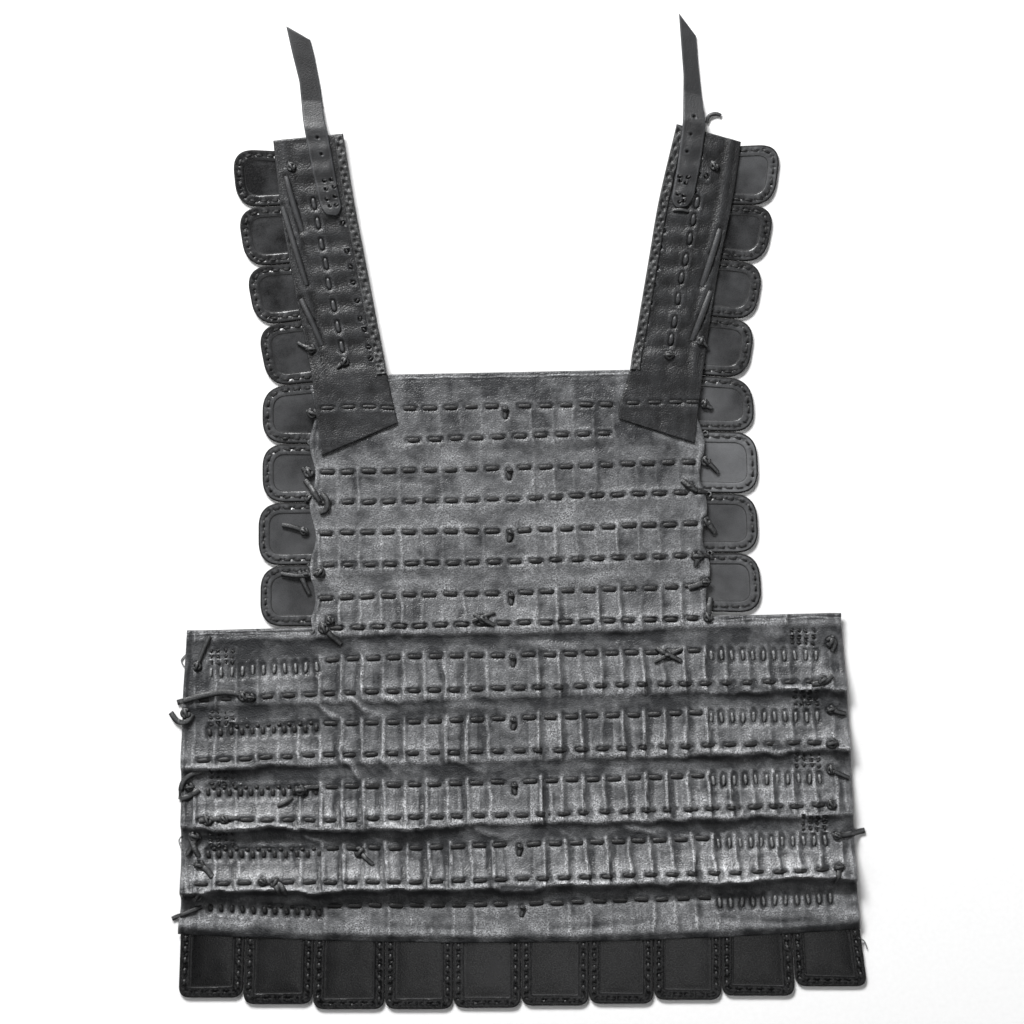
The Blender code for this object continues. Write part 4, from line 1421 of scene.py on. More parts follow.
@dataclass
class Lacing:
    """The thongs that lace the plates through the lining."""

    lining: BodyLining
    upper_dash: Stitching = Stitching(12.4, 4.5, 1.3, -0.25, 1.4, 0.8, 11)
    lower_dash: Stitching = Stitching(12.4, 4.5, 1.3, -0.45, 1.4, 0.3, 11)
    side: Stitching = Stitching(10.4, 3.8, 1.6, -0.1, 3.2, 0.4)
    short: Stitching = Stitching(7.6, 3.8, 1.6, -0.3, 3.2, 0.4)
    hole: Stitching = Stitching(3.6, 3.0, 1.4, -0.2, 1.6, steps=7)
    strap: Stitching = Stitching(4.2, 1.5, 1.0, 0.0, 1.6, steps=7)
    hole_offset: Point = (-4.6, 4.4)
    dashes: int = 9
    block: int = 11
    cluster_pitch: Point = (6.2, 6.0)

    def dash_places(self, number: int) -> list[tuple[float, float, float, bool]]:
        """Find the dashes of a laced row.

        Args:
            number: Number of the row, counted from the neck.

        Returns:
            The x, y and turn of every dash, and if it is on the lower line.
        """
        run = LACING_RUNS[number]
        rng = np.random.default_rng(100 + number)
        lines = [(2 * number, np.linspace(*half, self.dashes)) for half in (run.left, run.right)]
        if run.count:
            lines.append((2 * number + 1, np.linspace(*run.lower, run.count)))
        places = []
        for line, row in lines:
            for x in row + rng.uniform(-0.5, 0.5, len(row)):
                if number == 0 and any(low < x < high for low, high in FLAP_HIDES):
                    continue
                y = float(np.interp(x, STATIONS, self.lining.lines[line]))
                tilt = (float(np.interp(x + 6.0, STATIONS, self.lining.lines[line])) - y) / 6.0
                turn = math.degrees(math.atan(tilt)) + float(rng.uniform(-4.0, 4.0))
                places.append((float(x), y + float(rng.uniform(-0.4, 0.4)), turn, line % 2 == 1))
        return places

    def side_places(self, number: int) -> list[tuple[float, float, float]]:
        """Find the vertical stitches of one block.

        Args:
            number: Number of the block.

        Returns:
            The x, y and turn of every stitch.
        """
        first, last = SIDE_STITCHES[number]
        rng = np.random.default_rng(200 + number)
        return [
            (float(x) + float(rng.uniform(-0.3, 0.3)), float(y) + float(rng.uniform(-0.4, 0.4)),
             90.0 + float(rng.uniform(-6.0, 8.0)))
            for x, y in zip(*(np.linspace(first[axis], last[axis], self.block) for axis in (0, 1)))
        ]

    def hole_places(self, number: int) -> list[Point]:
        """Find the holes beside the short stitches of one block.

        Args:
            number: Number of the block.

        Returns:
            The holes' places, or none where the block's stitches aren't short.
        """
        first = CROWDED_BLOCKS.get(number, self.block)
        return [(x + self.hole_offset[0], y + self.hole_offset[1])
                for x, y, _ in self.side_places(number)[first:]]

    def cluster_places(self, number: int) -> list[Point]:
        """Find the stitches of a cluster where a buckle strap is sewn on the far side.

        Args:
            number: Number of the cluster.

        Returns:
            The places of its twelve stitches.
        """
        rng = np.random.default_rng(300 + number)
        middle, pitch = HOLE_CLUSTERS[number], self.cluster_pitch
        return [
            (middle[0] + column * pitch[0] + float(rng.uniform(-0.7, 0.7)),
             middle[1] + row * pitch[1] + float(rng.uniform(-0.7, 0.7)))
            for row in (-0.9, 0.0, 0.9) for column in (-1.5, -0.5, 0.5, 1.5)
        ]

    def mark(self) -> None:
        """Give the lining its dents before it is built."""
        dents = self.lining.dents
        for number in range(len(LACING_RUNS)):
            for x, y, turn, lower in self.dash_places(number):
                pull = 0.5 + 0.5 * math.sin(x * 1.7 + y)
                depth, pucker = (1.2, 0.06 + 0.3 * pull) if lower else (0.8, 0.03 + 0.2 * pull)
                half_length = self.upper_dash.length * 0.38
                dents.append(Dent(x, y, half_length, 2.5, turn, depth, pucker))
        for number in range(len(SIDE_STITCHES)):
            crowded = number in CROWDED_BLOCKS
            length, depth = (self.short.length, 2.0) if crowded else (self.side.length, 1.5)
            for x, y, turn in self.side_places(number):
                dents.append(Dent(x, y, length * 0.36, 3.0, turn, depth, 0.3))
                for end in (-0.5, 0.5):
                    dents.append(Dent(x, y + end * length, 0.3, 1.7, 90.0, 1.2, 0.1))
            for place in self.hole_places(number):
                dents.append(Dent(*place, 0.8, 2.2, 0.0, 3.0, 0.25))
        for number in range(len(HOLE_CLUSTERS)):
            for x, y in self.cluster_places(number):
                dents.append(Dent(x, y, 0.9, 1.5, 60.0 * x, 1.4, 0.6))

    def build(self, material: Material, side_material: Material) -> None:
        """Build the dashes of each row, the side stitches and the clusters.

        Args:
            material: Finish of the dark thongs.
            side_material: Finish of the side stitches, whose top faces are rubbed grey and painted
                lighter as a highlight.
        """
        top = self.lining.top
        for number, name in enumerate([row.name for row in ROWS] + ["waist_5"]):
            thongs = Thongs(f"lacing_{name}")
            rng = np.random.default_rng(400 + number)
            for x, y, turn, lower in self.dash_places(number):
                longer, wider = float(rng.uniform(0.94, 1.06)), float(rng.uniform(0.88, 1.06))
                dash = self.lower_dash if lower else self.upper_dash
                dash.sew(thongs, (x, y), turn, top, longer, wider)
            if number >= len(CHEST_ROWS):
                sewing = Thongs(f"side_stitches_{name}")
                first = 2 * (number - len(CHEST_ROWS))
                for block in (first, first + 1):
                    # Where the leather is pulled in deepest, the stitches are as dark as the dashes
                    crowded = block in CROWDED_BLOCKS
                    kind, holder = (self.short, thongs) if crowded else (self.side, sewing)
                    for x, y, turn in self.side_places(block):
                        kind.sew(holder, (x, y), turn, top)
                    for place in self.hole_places(block):
                        self.hole.sew(thongs, place, 20.0, top)
                sewing.build(side_material)
            thongs.build(material)
        clusters = Thongs("strap_stitches")
        for number in range(len(HOLE_CLUSTERS)):
            rng = np.random.default_rng(500 + number)
            for x, y in self.cluster_places(number):
                self.strap.sew(clusters, (x, y), float(rng.uniform(0.0, 180.0)), top)
        clusters.build(material)


# ---- knots, tails and laces ----


CHEST_TAILS = (
    ((-187.5, 33.9), (-190.5, 35.6), (-193.5, 37.8)),
    ((-190.9, 27.3), (-184.7, 19.4), (-178.1, 8.8)),
    ((-175.9, 15.0), (-171.5, 9.7), (-172.4, 0.9), (-177.7, -1.8)),
    ((-191.8, -17.6), (-201.4, -14.1), (-211.1, -12.3)),
    ((-177.7, -54.1), (-195.3, -57.2), (-212.0, -55.4)),
    ((-196.2, -52.8), (-191.8, -63.4), (-187.5, -73.0)),
    ((-174.2, -103.0), (-166.2, -110.9), (-159.2, -117.0)),
    ((159.4, 94.2), (163.4, 92.2), (167.3, 90.6)),
    ((162.0, 44.0), (167.3, 39.6), (172.6, 33.9)),
    ((153.7, 17.6), (147.0, 22.0), (140.9, 26.8)),
    ((162.0, -9.3), (166.4, -14.1), (169.9, -19.4)),
    ((153.7, -37.8), (154.1, -43.1), (152.3, -48.4)),
    ((163.8, -61.6), (155.0, -65.1), (146.7, -67.8)),
    ((163.8, -93.3), (164.6, -84.5), (166.4, -76.6)),
    ((-43.9, -96.8), (-35.1, -93.3), (-23.7, -88.9)),
    ((-42.2, -90.6), (-33.4, -95.9), (-24.6, -100.3)),
)
WAIST_TAILS = (
    ((-285.9, -136.4), (-280.6, -123.2), (-274.5, -110.0)),
    ((-241.0, -162.8), (-261.3, -159.3), (-278.9, -161.9), (-303.9, -169.0)),
    ((-309.7, -177.8), (-302.6, -185.7), (-295.1, -185.7), (-289.4, -178.6)),
    ((-178.6, -242.9), (-190.9, -243.8), (-200.6, -247.3)),
    ((-201.7, -251.7), (-208.5, -256.1), (-214.8, -259.2)),
    ((-281.8, -229.7), (-290.0, -231.5), (-297.3, -237.6), (-300.9, -254.3)),
    ((-283.7, -245.2), (-292.0, -250.5), (-300.9, -254.3)),
    ((-283.3, -272.4), (-267.4, -270.2), (-248.1, -269.3)),
    ((-283.3, -285.1), (-289.4, -293.9), (-294.7, -302.7)),
    ((-292.1, -286.9), (-287.7, -296.6), (-284.2, -303.6)),
    ((-283.3, -311.5), (-277.1, -315.0), (-271.8, -321.2)),
    ((-142.5, -300.1), (-137.2, -305.4), (-131.0, -310.6)),
    ((-216.4, -325.6), (-213.8, -331.8), (-212.0, -337.0)),
    ((-216.4, -325.6), (-211.1, -328.2), (-206.7, -336.2)),
    ((-282.0, -348.5), (-296.0, -354.0), (-308.5, -359.6)),
    ((272.9, -113.5), (274.6, -118.8), (272.9, -123.2)),
    ((254.4, -152.2), (264.1, -150.5), (272.9, -144.3)),
    ((141.8, -120.6), (128.6, -126.7), (116.2, -132.9)),
    ((118.0, -120.6), (127.7, -125.8), (140.0, -132.0)),
    ((272.0, -174.7), (278.2, -176.9), (284.9, -178.6)),
    ((272.0, -227.9), (279.9, -231.4), (287.8, -235.0)),
    ((277.3, -285.6), (288.7, -284.2), (302.4, -281.6)),
    ((278.2, -312.4), (277.3, -320.3), (275.5, -327.4)),
)
# Small curls of thread in the notches between the chest's tabs
CURLS = (
    (-186.5, 60.7), (-187.4, 9.7), (-186.5, -47.5), (-184.7, -104.7),
    (161.6, 68.6), (164.6, 15.0), (165.5, -37.0),
)
LOOSE_THREADS = (
    ((296.0, -375.5), (301.9, -379.3), (304.6, -386.3)),
    ((-296.5, -126.7), (-300.5, -132.0), (-297.0, -138.2)),
    ((-298.5, -285.0), (-302.4, -291.0), (-299.0, -298.0)),
)
CHEST_KNOTS = (
    (-187.5, 33.9), (-191.8, -17.6), (-187.4, 11.4), (-177.7, -54.1), (-190.0, -55.4),
    (-174.2, -103.0), (-168.9, -95.9), (161.1, 94.2), (162.0, 44.0), (147.9, 22.0),
    (162.0, -9.3), (154.1, -39.6), (162.0, -62.5), (163.8, -93.3), (-34.0, -95.2), (-184.4, 86.2),
)
WAIST_KNOTS = (
    (-285.9, -136.4), (-244.6, -162.8), (-238.4, -163.7), (-295.6, -177.8), (-195.3, -245.5),
    (-292.1, -242.9), (-276.2, -271.9), (-261.3, -270.2), (-287.7, -286.0), (-283.3, -311.5),
    (-142.5, -300.1), (-227.3, -324.7), (-216.4, -325.6), (-285.0, -338.8), (272.0, -115.3),
    (264.1, -148.7), (128.6, -126.7), (272.0, -174.7), (272.0, -203.8), (272.0, -227.9),
    (272.0, -257.8), (277.3, -285.6), (278.2, -312.4),
)


@dataclass
class Knots:
    """The thongs' knots and free ends at the middle and the sides of the body."""

    lining: BodyLining
    tail_width: float = 4.6
    tail_thick: float = 1.5
    knot_size: float = 9.4
    middle_knot: float = 5.2
    tab_height: float = 2.7
    loop: Stitching = Stitching(8.6, 3.9, 1.6, 0.1, 1.4)
    curl: float = 2.1

    def rest(self, x: Array, y: Array) -> Array:
        """Find what carries a tail: the lining, a tab or the table.

        Args:
            x: Places across.
            y: Places along.

        Returns:
            Its height at each place.
        """
        on_chest = y > self.lining.split + self.lining.split_tilt * x
        chest = np.array(self.lining.chest_edges)[::-1]
        waist = np.array(self.lining.waist_edges)[::-1]
        left, right = (
            np.where(on_chest, np.interp(y, chest[:, 0], chest[:, side]),
                     np.interp(y, waist[:, 0], waist[:, side]))
            for side in (1, 2)
        )
        inside = (x > left) & (x < right)
        beside = np.where(on_chest, self.tab_height, 0.0)
        return np.where(inside, self.lining.top(x, y), beside)

    def mark(self) -> None:
        """Give the lining the dents under its knots."""
        for x, y in CENTRE_KNOTS:
            self.lining.dents.append(Dent(x, y, 3.2, 2.7, 90.0, 1.0, 0.5))
        for x, y in CHEST_KNOTS + WAIST_KNOTS:
            self.lining.dents.append(Dent(x, y, 0.5, 4.0, 0.0, 0.6, 0.25))

    def build(self, material: Material, thread_material: Material) -> None:
        """Build the middle loops, the knots and tails of the chest and the waist, and the threads.

        Args:
            material: Finish of the thongs.
            thread_material: Finish of the loose threads.
        """
        middle = Thongs("middle_loops")
        for number, (x, y) in enumerate(CENTRE_KNOTS):
            turn = 84.0 + 17.0 * math.sin(2.3 * number)
            self.loop.sew(middle, (x, y - 1.6), turn, self.lining.top)
            knot = (x + 0.6 * math.sin(number), y + 3.2)
            middle.knot(knot, turn, self.middle_knot, self.lining.top)
        middle.build(material)
        for place, tails, knots in (("chest", CHEST_TAILS, CHEST_KNOTS),
                                    ("waist", WAIST_TAILS, WAIST_KNOTS)):
            thongs = Thongs(f"side_knots_{place}")
            rng = np.random.default_rng(600)
            for tail in tails:
                width = self.tail_width * float(rng.uniform(0.85, 1.2))
                thongs.strand(tail, width, self.tail_thick, self.rest,
                              arch=float(rng.uniform(0.2, 1.3)), start_dive=0.5)
            for x, y in knots:
                size = self.knot_size * float(rng.uniform(0.85, 1.15))
                thongs.knot((x, y), float(rng.uniform(0.0, 180.0)), size, self.rest)
            thongs.build(material)
        threads = Thongs("loose_threads", sides=6)
        for thread in LOOSE_THREADS:
            threads.strand(thread, 1.0, 0.9, self.rest, lift=0.5)
        for number, (x, y) in enumerate(CURLS):
            turns = np.linspace(0.4, 5.4, 7) + 0.9 * number
            ring = [(x + self.curl * math.cos(t), y + self.curl * math.sin(t)) for t in turns]
            threads.strand(ring, 1.3, 1.1, self.rest, lift=0.6)
        threads.build(thread_material)


# ---- tabs ----


@dataclass(frozen=True)
class TabSize:
    """Thickness and edging of the tabs, and how they hang."""

    field: float = 1.85
    crown: float = 0.35
    rim: float = 2.5
    rim_width: float = 9.5
    underlap: float = 7.0
    parting: float = 0.2
    step: float = 1.25
    seam: float = 4.6
    pitch: float = 9.2
    half_stitch: float = 3.0
    # distance from the edge, and share of the rim's height, of each ring of its section
    rings: tuple = (
        (0.0, 0.0), (0.0, 0.55), (0.1, 0.8), (0.5, 0.95), (1.4, 1.0), (3.0, 1.02), (4.7, 0.98),
        (6.5, 1.01), (8.3, 0.96), (9.2, 0.86), (9.5, 0.78),
    )
    # rings from the underside that carry the edge dye
    dyed_rings: int = 4


@dataclass
class Tab:
    """One leather tab with a stitched edging strip round its three free sides."""

    name: str
    corners: tuple
    radius: float
    size: TabSize = TabSize()
    seed: int = 1
    wear_and_shade: float = 0.26

    def outline(self, inset: float, count: int) -> Array:
        """Return points from base to base round the tab, set in from its free sides.

        Args:
            inset: Distance from the tab's free sides.
            count: Number of points.

        Returns:
            The points' x and y.
        """
        base_a, tip_a, tip_b, base_b = (np.array(corner, float) for corner in self.corners)
        out_a = (tip_a - base_a) / np.linalg.norm(tip_a - base_a)
        out_b = (tip_b - base_b) / np.linalg.norm(tip_b - base_b)
        side = (base_b - base_a) / np.linalg.norm(base_b - base_a)
        start = base_a - out_a * self.size.underlap + side * inset
        first = tip_a - out_a * inset + side * inset
        second = tip_b - out_b * inset - side * inset
        end = base_b - out_b * self.size.underlap - side * inset
        rounding = max(self.radius - inset, 1.2)
        path = [start]
        for before, corner, after in ((start, first, second), (first, second, end)):
            one = corner + (before - corner) / np.linalg.norm(before - corner) * rounding
            two = corner + (after - corner) / np.linalg.norm(after - corner) * rounding
            for share in np.linspace(0.0, 1.0, 15):
                path.append((1 - share) ** 2 * one + 2 * share * (1 - share) * corner
                            + share ** 2 * two)
        path.append(end)
        path = np.array(path)
        run = run_along(path)
        at = np.linspace(0.0, run[-1], count)
        return np.stack([np.interp(at, run, path[:, 0]), np.interp(at, run, path[:, 1])], 1)

    def length(self) -> float:
        """Return the length of the free outline."""
        outline = self.outline(0.0, 200)
        return float(np.hypot(*np.diff(outline, axis=0).T).sum())

    def stitch_places(self) -> list[tuple[float, float, float]]:
        """Find the stitches of the edging strip.

        Returns:
            The x, y and turn of each stitch.
        """
        line = self.outline(self.size.seam, 400)
        run = run_along(line)
        start = self.size.underlap + 4.0
        count = int((run[-1] - 2 * start) / self.size.pitch) + 1
        places = []
        for at in np.linspace(start, run[-1] - start, count):
            (x, ahead_x), (y, ahead_y) = (
                (np.interp(at, run, line[:, axis]), np.interp(at + 2.0, run, line[:, axis]))
                for axis in (0, 1)
            )
            turn = math.degrees(math.atan2(ahead_y - y, ahead_x - x))
            places.append((float(x), float(y), turn))
        return places

    def crumple(self, x: Array, y: Array, inset: float) -> Array:
        """Return how uneven the face is: crumpled on the strip, calm on the field.

        Args:
            x: Places across.
            y: Places along.
            inset: Their distance from the edge.

        Returns:
            The unevenness at each place.
        """
        if inset > self.size.rim_width:
            return 0.16 * ripple(x, y, 17.0, 13.0, 950 + self.seed)
        share = math.sin(math.pi * inset / self.size.rim_width)
        rough = (0.34 * ripple(x, y, 5.2, 5.2, 900 + self.seed)
                 + 0.24 * ripple(x, y, 2.6, 2.6, self.seed))
        return rough * share

    def sections(self) -> list[Point]:
        """Lay out the tab's section.

        Returns:
            The inset and the height of each ring, from the edge's foot to the middle.
        """
        size = self.size
        width = float(np.linalg.norm(np.subtract(self.corners[3], self.corners[0])))
        strip = [(inset, share * size.rim) for inset, share in size.rings]
        groove = [(10.0, size.field - 0.1), (10.8, size.field - 0.12)]
        inner = [(float(step), size.field + size.crown * min((step - 11.0) / 9.0, 1.0))
                 for step in np.linspace(12.5, width / 2.0 - 2.2, 7)]
        return strip + groove + inner

    def build(self, material: Material, finishes: Finishes) -> Mesh:
        """Build the tab.

        Args:
            material: Finish of its leather.
            finishes: Gives the finishes of the strip's cut edge and the dyed outer edge.

        Returns:
            The tab's object.
        """
        size = self.size
        count = int(self.length() / size.step)
        points, wear_and_shade = [], []
        holes = [(x + end * size.half_stitch * math.cos(math.radians(turn)),
                  y + end * size.half_stitch * math.sin(math.radians(turn)))
                 for x, y, turn in self.stitch_places() for end in (-1.0, 1.0)]
        for inset, height in self.sections():
            x, y = self.outline(inset, count).T
            z = np.full(count, height)
            if inset > 0.3:
                z = z + self.crumple(x, y, inset)
            if 1.0 < inset < 9.0:
                for hole_x, hole_y in holes:
                    gap = np.hypot(x - hole_x, y - hole_y)
                    z -= 1.2 * hump(gap, 0.0, 1.35) - 0.14 * hump(gap, 2.6, 0.8)
            points.append(np.stack([x, y, z], 1))
            # Painted light on the crumples where they stand up, and painted shade in the stitch
            # holes
            uneven = 0.35 if 0.3 < inset <= size.rim_width else 0.105
            wear_and_shade.append(np.clip(self.wear_and_shade + uneven * (z - height), 0.0, 1.0))
        total, cut_ring = len(points), len(size.rings) - 1
        faces, kinds = [], []
        for ring in range(total - 1):
            kind = 1 if cut_ring - 1 <= ring <= cut_ring else 2 if ring < size.dyed_rings else 0
            for step in range(count - 1):
                here = ring * count + step
                faces.append([here, here + 1, here + count + 1, here + count])
                kinds.append(kind)
        top = (total - 1) * count
        faces.append(list(range(count))[::-1])
        faces.append([top + step for step in range(count)])
        first = [ring * count for ring in range(total)]
        faces.append(first + [start + count - 1 for start in first[::-1]])
        kinds += [0, 0, 0]
        if self.winding(points[0]):
            faces = [face[::-1] for face in faces]
        item = make_piece(self.name + "_leather", np.concatenate(points), faces, material,
                          40.0, np.concatenate(wear_and_shade))
        item.data.materials.append(finishes.cut_edge)
        item.data.materials.append(finishes.edge_dye)
        item.data.polygons.foreach_set("material_index", kinds)
        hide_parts(self.name)
        outer = points[0][:, :2]
        spans = sorted(float(np.ptp(outer @ way)) for way in self.ways())
        return item

    def ways(self) -> tuple[Array, Array]:
        """Find the tab's own directions.

        Returns:
            The directions along its base and across it.
        """
        side = np.subtract(self.corners[3], self.corners[0]).astype(float)
        side /= np.linalg.norm(side)
        return side, np.array([-side[1], side[0]])

    @staticmethod
    def winding(outline: Array) -> bool:
        """Say whether the outline runs clockwise, so that its faces have to be turned."""
        x, y = outline[:, 0], outline[:, 1]
        return float(np.dot(x, np.roll(y, -1)) - np.dot(y, np.roll(x, -1))) < 0.0


LEFT_CUTS = (
    (317.7, 319.5), (269.3, 267.0), (218.2, 214.7), (168.1, 162.8), (113.5, 109.1),
    (59.0, 59.4), (7.9, 7.0), (-47.5, -48.4), (-101.6, -102.2),
)
RIGHT_CUTS = (
    (322.0, 323.8), (270.2, 268.8), (221.8, 218.2), (171.6, 167.6), (119.7, 116.6),
    (70.4, 69.5), (15.8, 15.0), (-37.0, -37.0), (-88.9, -89.8),
)
# How light each tab is painted, from the top down and from left to right: its rubbing, and on the
# middle hem tabs a painted sheen as well
LEFT_WEAR = (0.02, 0.05, 0.06, 0.06, 0.14, 0.26, 0.24, 0.22)
RIGHT_WEAR = (0.2, 0.12, 0.14, 0.18, 0.28, 0.62, 0.3, 0.26)
HEM_WEAR_AND_SHEEN = (0.04, 0.02, 0.08, 0.22, 0.3, 0.3, 0.24, 0.16, 0.08, 0.0)
LEFT_ENDS = (-253.4, -247.2, -239.3, -228.7, -228.7, -228.7, -232.2, -230.5)
RIGHT_ENDS = (225.4, 218.8, 209.5, 202.5, 204.2, 207.8, 207.8, 210.4)
HEM_CUTS = (
    (-301.0, -302.9), (-244.0, -246.0), (-183.0, -184.5), (-120.5, -121.0), (-60.6, -60.6),
    (-0.8, -0.8), (59.1, 59.1), (116.2, 116.2), (176.1, 176.1), (238.1, 241.0), (298.0, 304.8),
)
HEM_ENDS = (-429.0, -434.7, -439.1, -439.1, -438.0, -436.0, -434.4, -431.0, -427.3, -419.0)
# Shoulder panels: outer and inner edge points of each section, from the top down
LEFT_SECTIONS = (
    (-219.1, 326.2, -157.4, 332.4), (-212.9, 269.3, -148.0, 273.7), (-204.5, 218.2, -138.2, 222.6),
    (-194.7, 168.1, -128.7, 172.5), (-191.0, 149.0, -124.8, 153.0), (-187.5, 130.0, -121.2, 134.5),
    (-184.2, 113.5, -118.7, 120.9), (-180.3, 80.0, -114.3, 99.4), (-175.9, 48.4, -109.0, 77.1),
)
RIGHT_SECTIONS = (
    (193.0, 325.1, 136.3, 340.8), (184.9, 270.2, 120.6, 273.7), (174.9, 221.8, 112.3, 225.3),
    (166.4, 171.6, 103.8, 175.1), (163.3, 151.5, 100.2, 154.0), (160.8, 133.0, 96.8, 137.0),
    (158.8, 119.7, 95.1, 124.6), (154.8, 89.0, 85.4, 92.4), (151.5, 59.5, 85.4, 81.0),
)


@dataclass
class Tabs:
    """Every tab of the armholes and the hem, with the stitches of their edging."""

    lining: BodyLining
    size: TabSize = TabSize()
    armhole_radius: float = 21.0
    hem_radius: float = 10.0
    stitch: Stitching = Stitching(6.0, 1.9, 1.2, 0.05, 1.2, steps=7)

    def armhole(self, side: str) -> list[Tab]:
        """Lay out the eight tabs of one armhole.

        Args:
            side: Side of the armour, "left" or "right".

        Returns:
            The tabs, from the top down.
        """
        left = side == "left"
        outward = -1.0 if left else 1.0
        cuts, ends = (LEFT_CUTS, LEFT_ENDS) if left else (RIGHT_CUTS, RIGHT_ENDS)
        sections = np.array(LEFT_SECTIONS if left else RIGHT_SECTIONS)[::-1]
        wear_and_shade = LEFT_WEAR if left else RIGHT_WEAR
        edges = np.array(self.lining.chest_edges)[::-1]
        made = []
        for number, end_x in enumerate(ends):
            corners = []
            for cut, shift in ((cuts[number], -self.size.parting),
                               (cuts[number + 1], self.size.parting)):
                base_y = cut[0] + shift
                if number < 4:
                    base_x = float(np.interp(base_y, sections[:, 1], sections[:, 0]))
                else:
                    base_x = float(np.interp(base_y, edges[:, 0], edges[:, 1 if left else 2]))
                corners.append((base_x, base_y, cut[1] + shift))
            (ax, ay, a_out), (bx, by, b_out) = corners
            reach = outward * (end_x - (ax + bx) / 2.0)
            shape = ((ax, ay), (ax + outward * reach, a_out), (bx + outward * reach, b_out),
                     (bx, by))
            place = "shoulder" if number < 4 else "chest"
            made.append(Tab(f"tab_{place}_{side}_{number % 4 + 1}", shape, self.armhole_radius,
                            self.size, 10 * (number + 1) + (1 if left else 2), wear_and_shade[number]))
        return made

    def hem(self) -> list[Tab]:
        """Lay out the ten tabs of the hem.

        Returns:
            The tabs, from left to right.
        """
        made = []
        for number, end_y in enumerate(HEM_ENDS):
            (first, first_out), (second, second_out) = HEM_CUTS[number], HEM_CUTS[number + 1]
            left, right = first + self.size.parting, second - self.size.parting
            base = self.lining.hem_edge(np.array([left, right]))
            shape = ((left, float(base[0])), (first_out + self.size.parting, end_y),
                     (second_out - self.size.parting, end_y), (right, float(base[1])))
            made.append(Tab(f"tab_hem_{number + 1:02d}", shape, self.hem_radius, self.size,
                            200 + number, HEM_WEAR_AND_SHEEN[number]))
        return made

    def build(self, finishes: Finishes) -> None:
        """Build the tabs and their stitches.

        Args:
            finishes: Gives the finishes of the tabs.
        """
        def face(x: Array, y: Array) -> Array:
            """Return the height of the strip that the stitches lie on."""
            return np.full_like(x, self.size.rim)

        for place, tabs, material in (("left", self.armhole("left"), finishes.tab),
                                      ("right", self.armhole("right"), finishes.tab),
                                      ("hem", self.hem(), finishes.hem)):
            stitches = Thongs(f"tab_stitches_{place}", Slot.TAB, sides=6)
            for tab in tabs:
                tab.build(material, finishes)
                for x, y, turn in tab.stitch_places():
                    self.stitch.sew(stitches, (x, y), turn, face)
            stitches.build(finishes.thong)
            LOG.info("tabs %s: %d", place, len(tabs))


# ---- shoulder panels ----


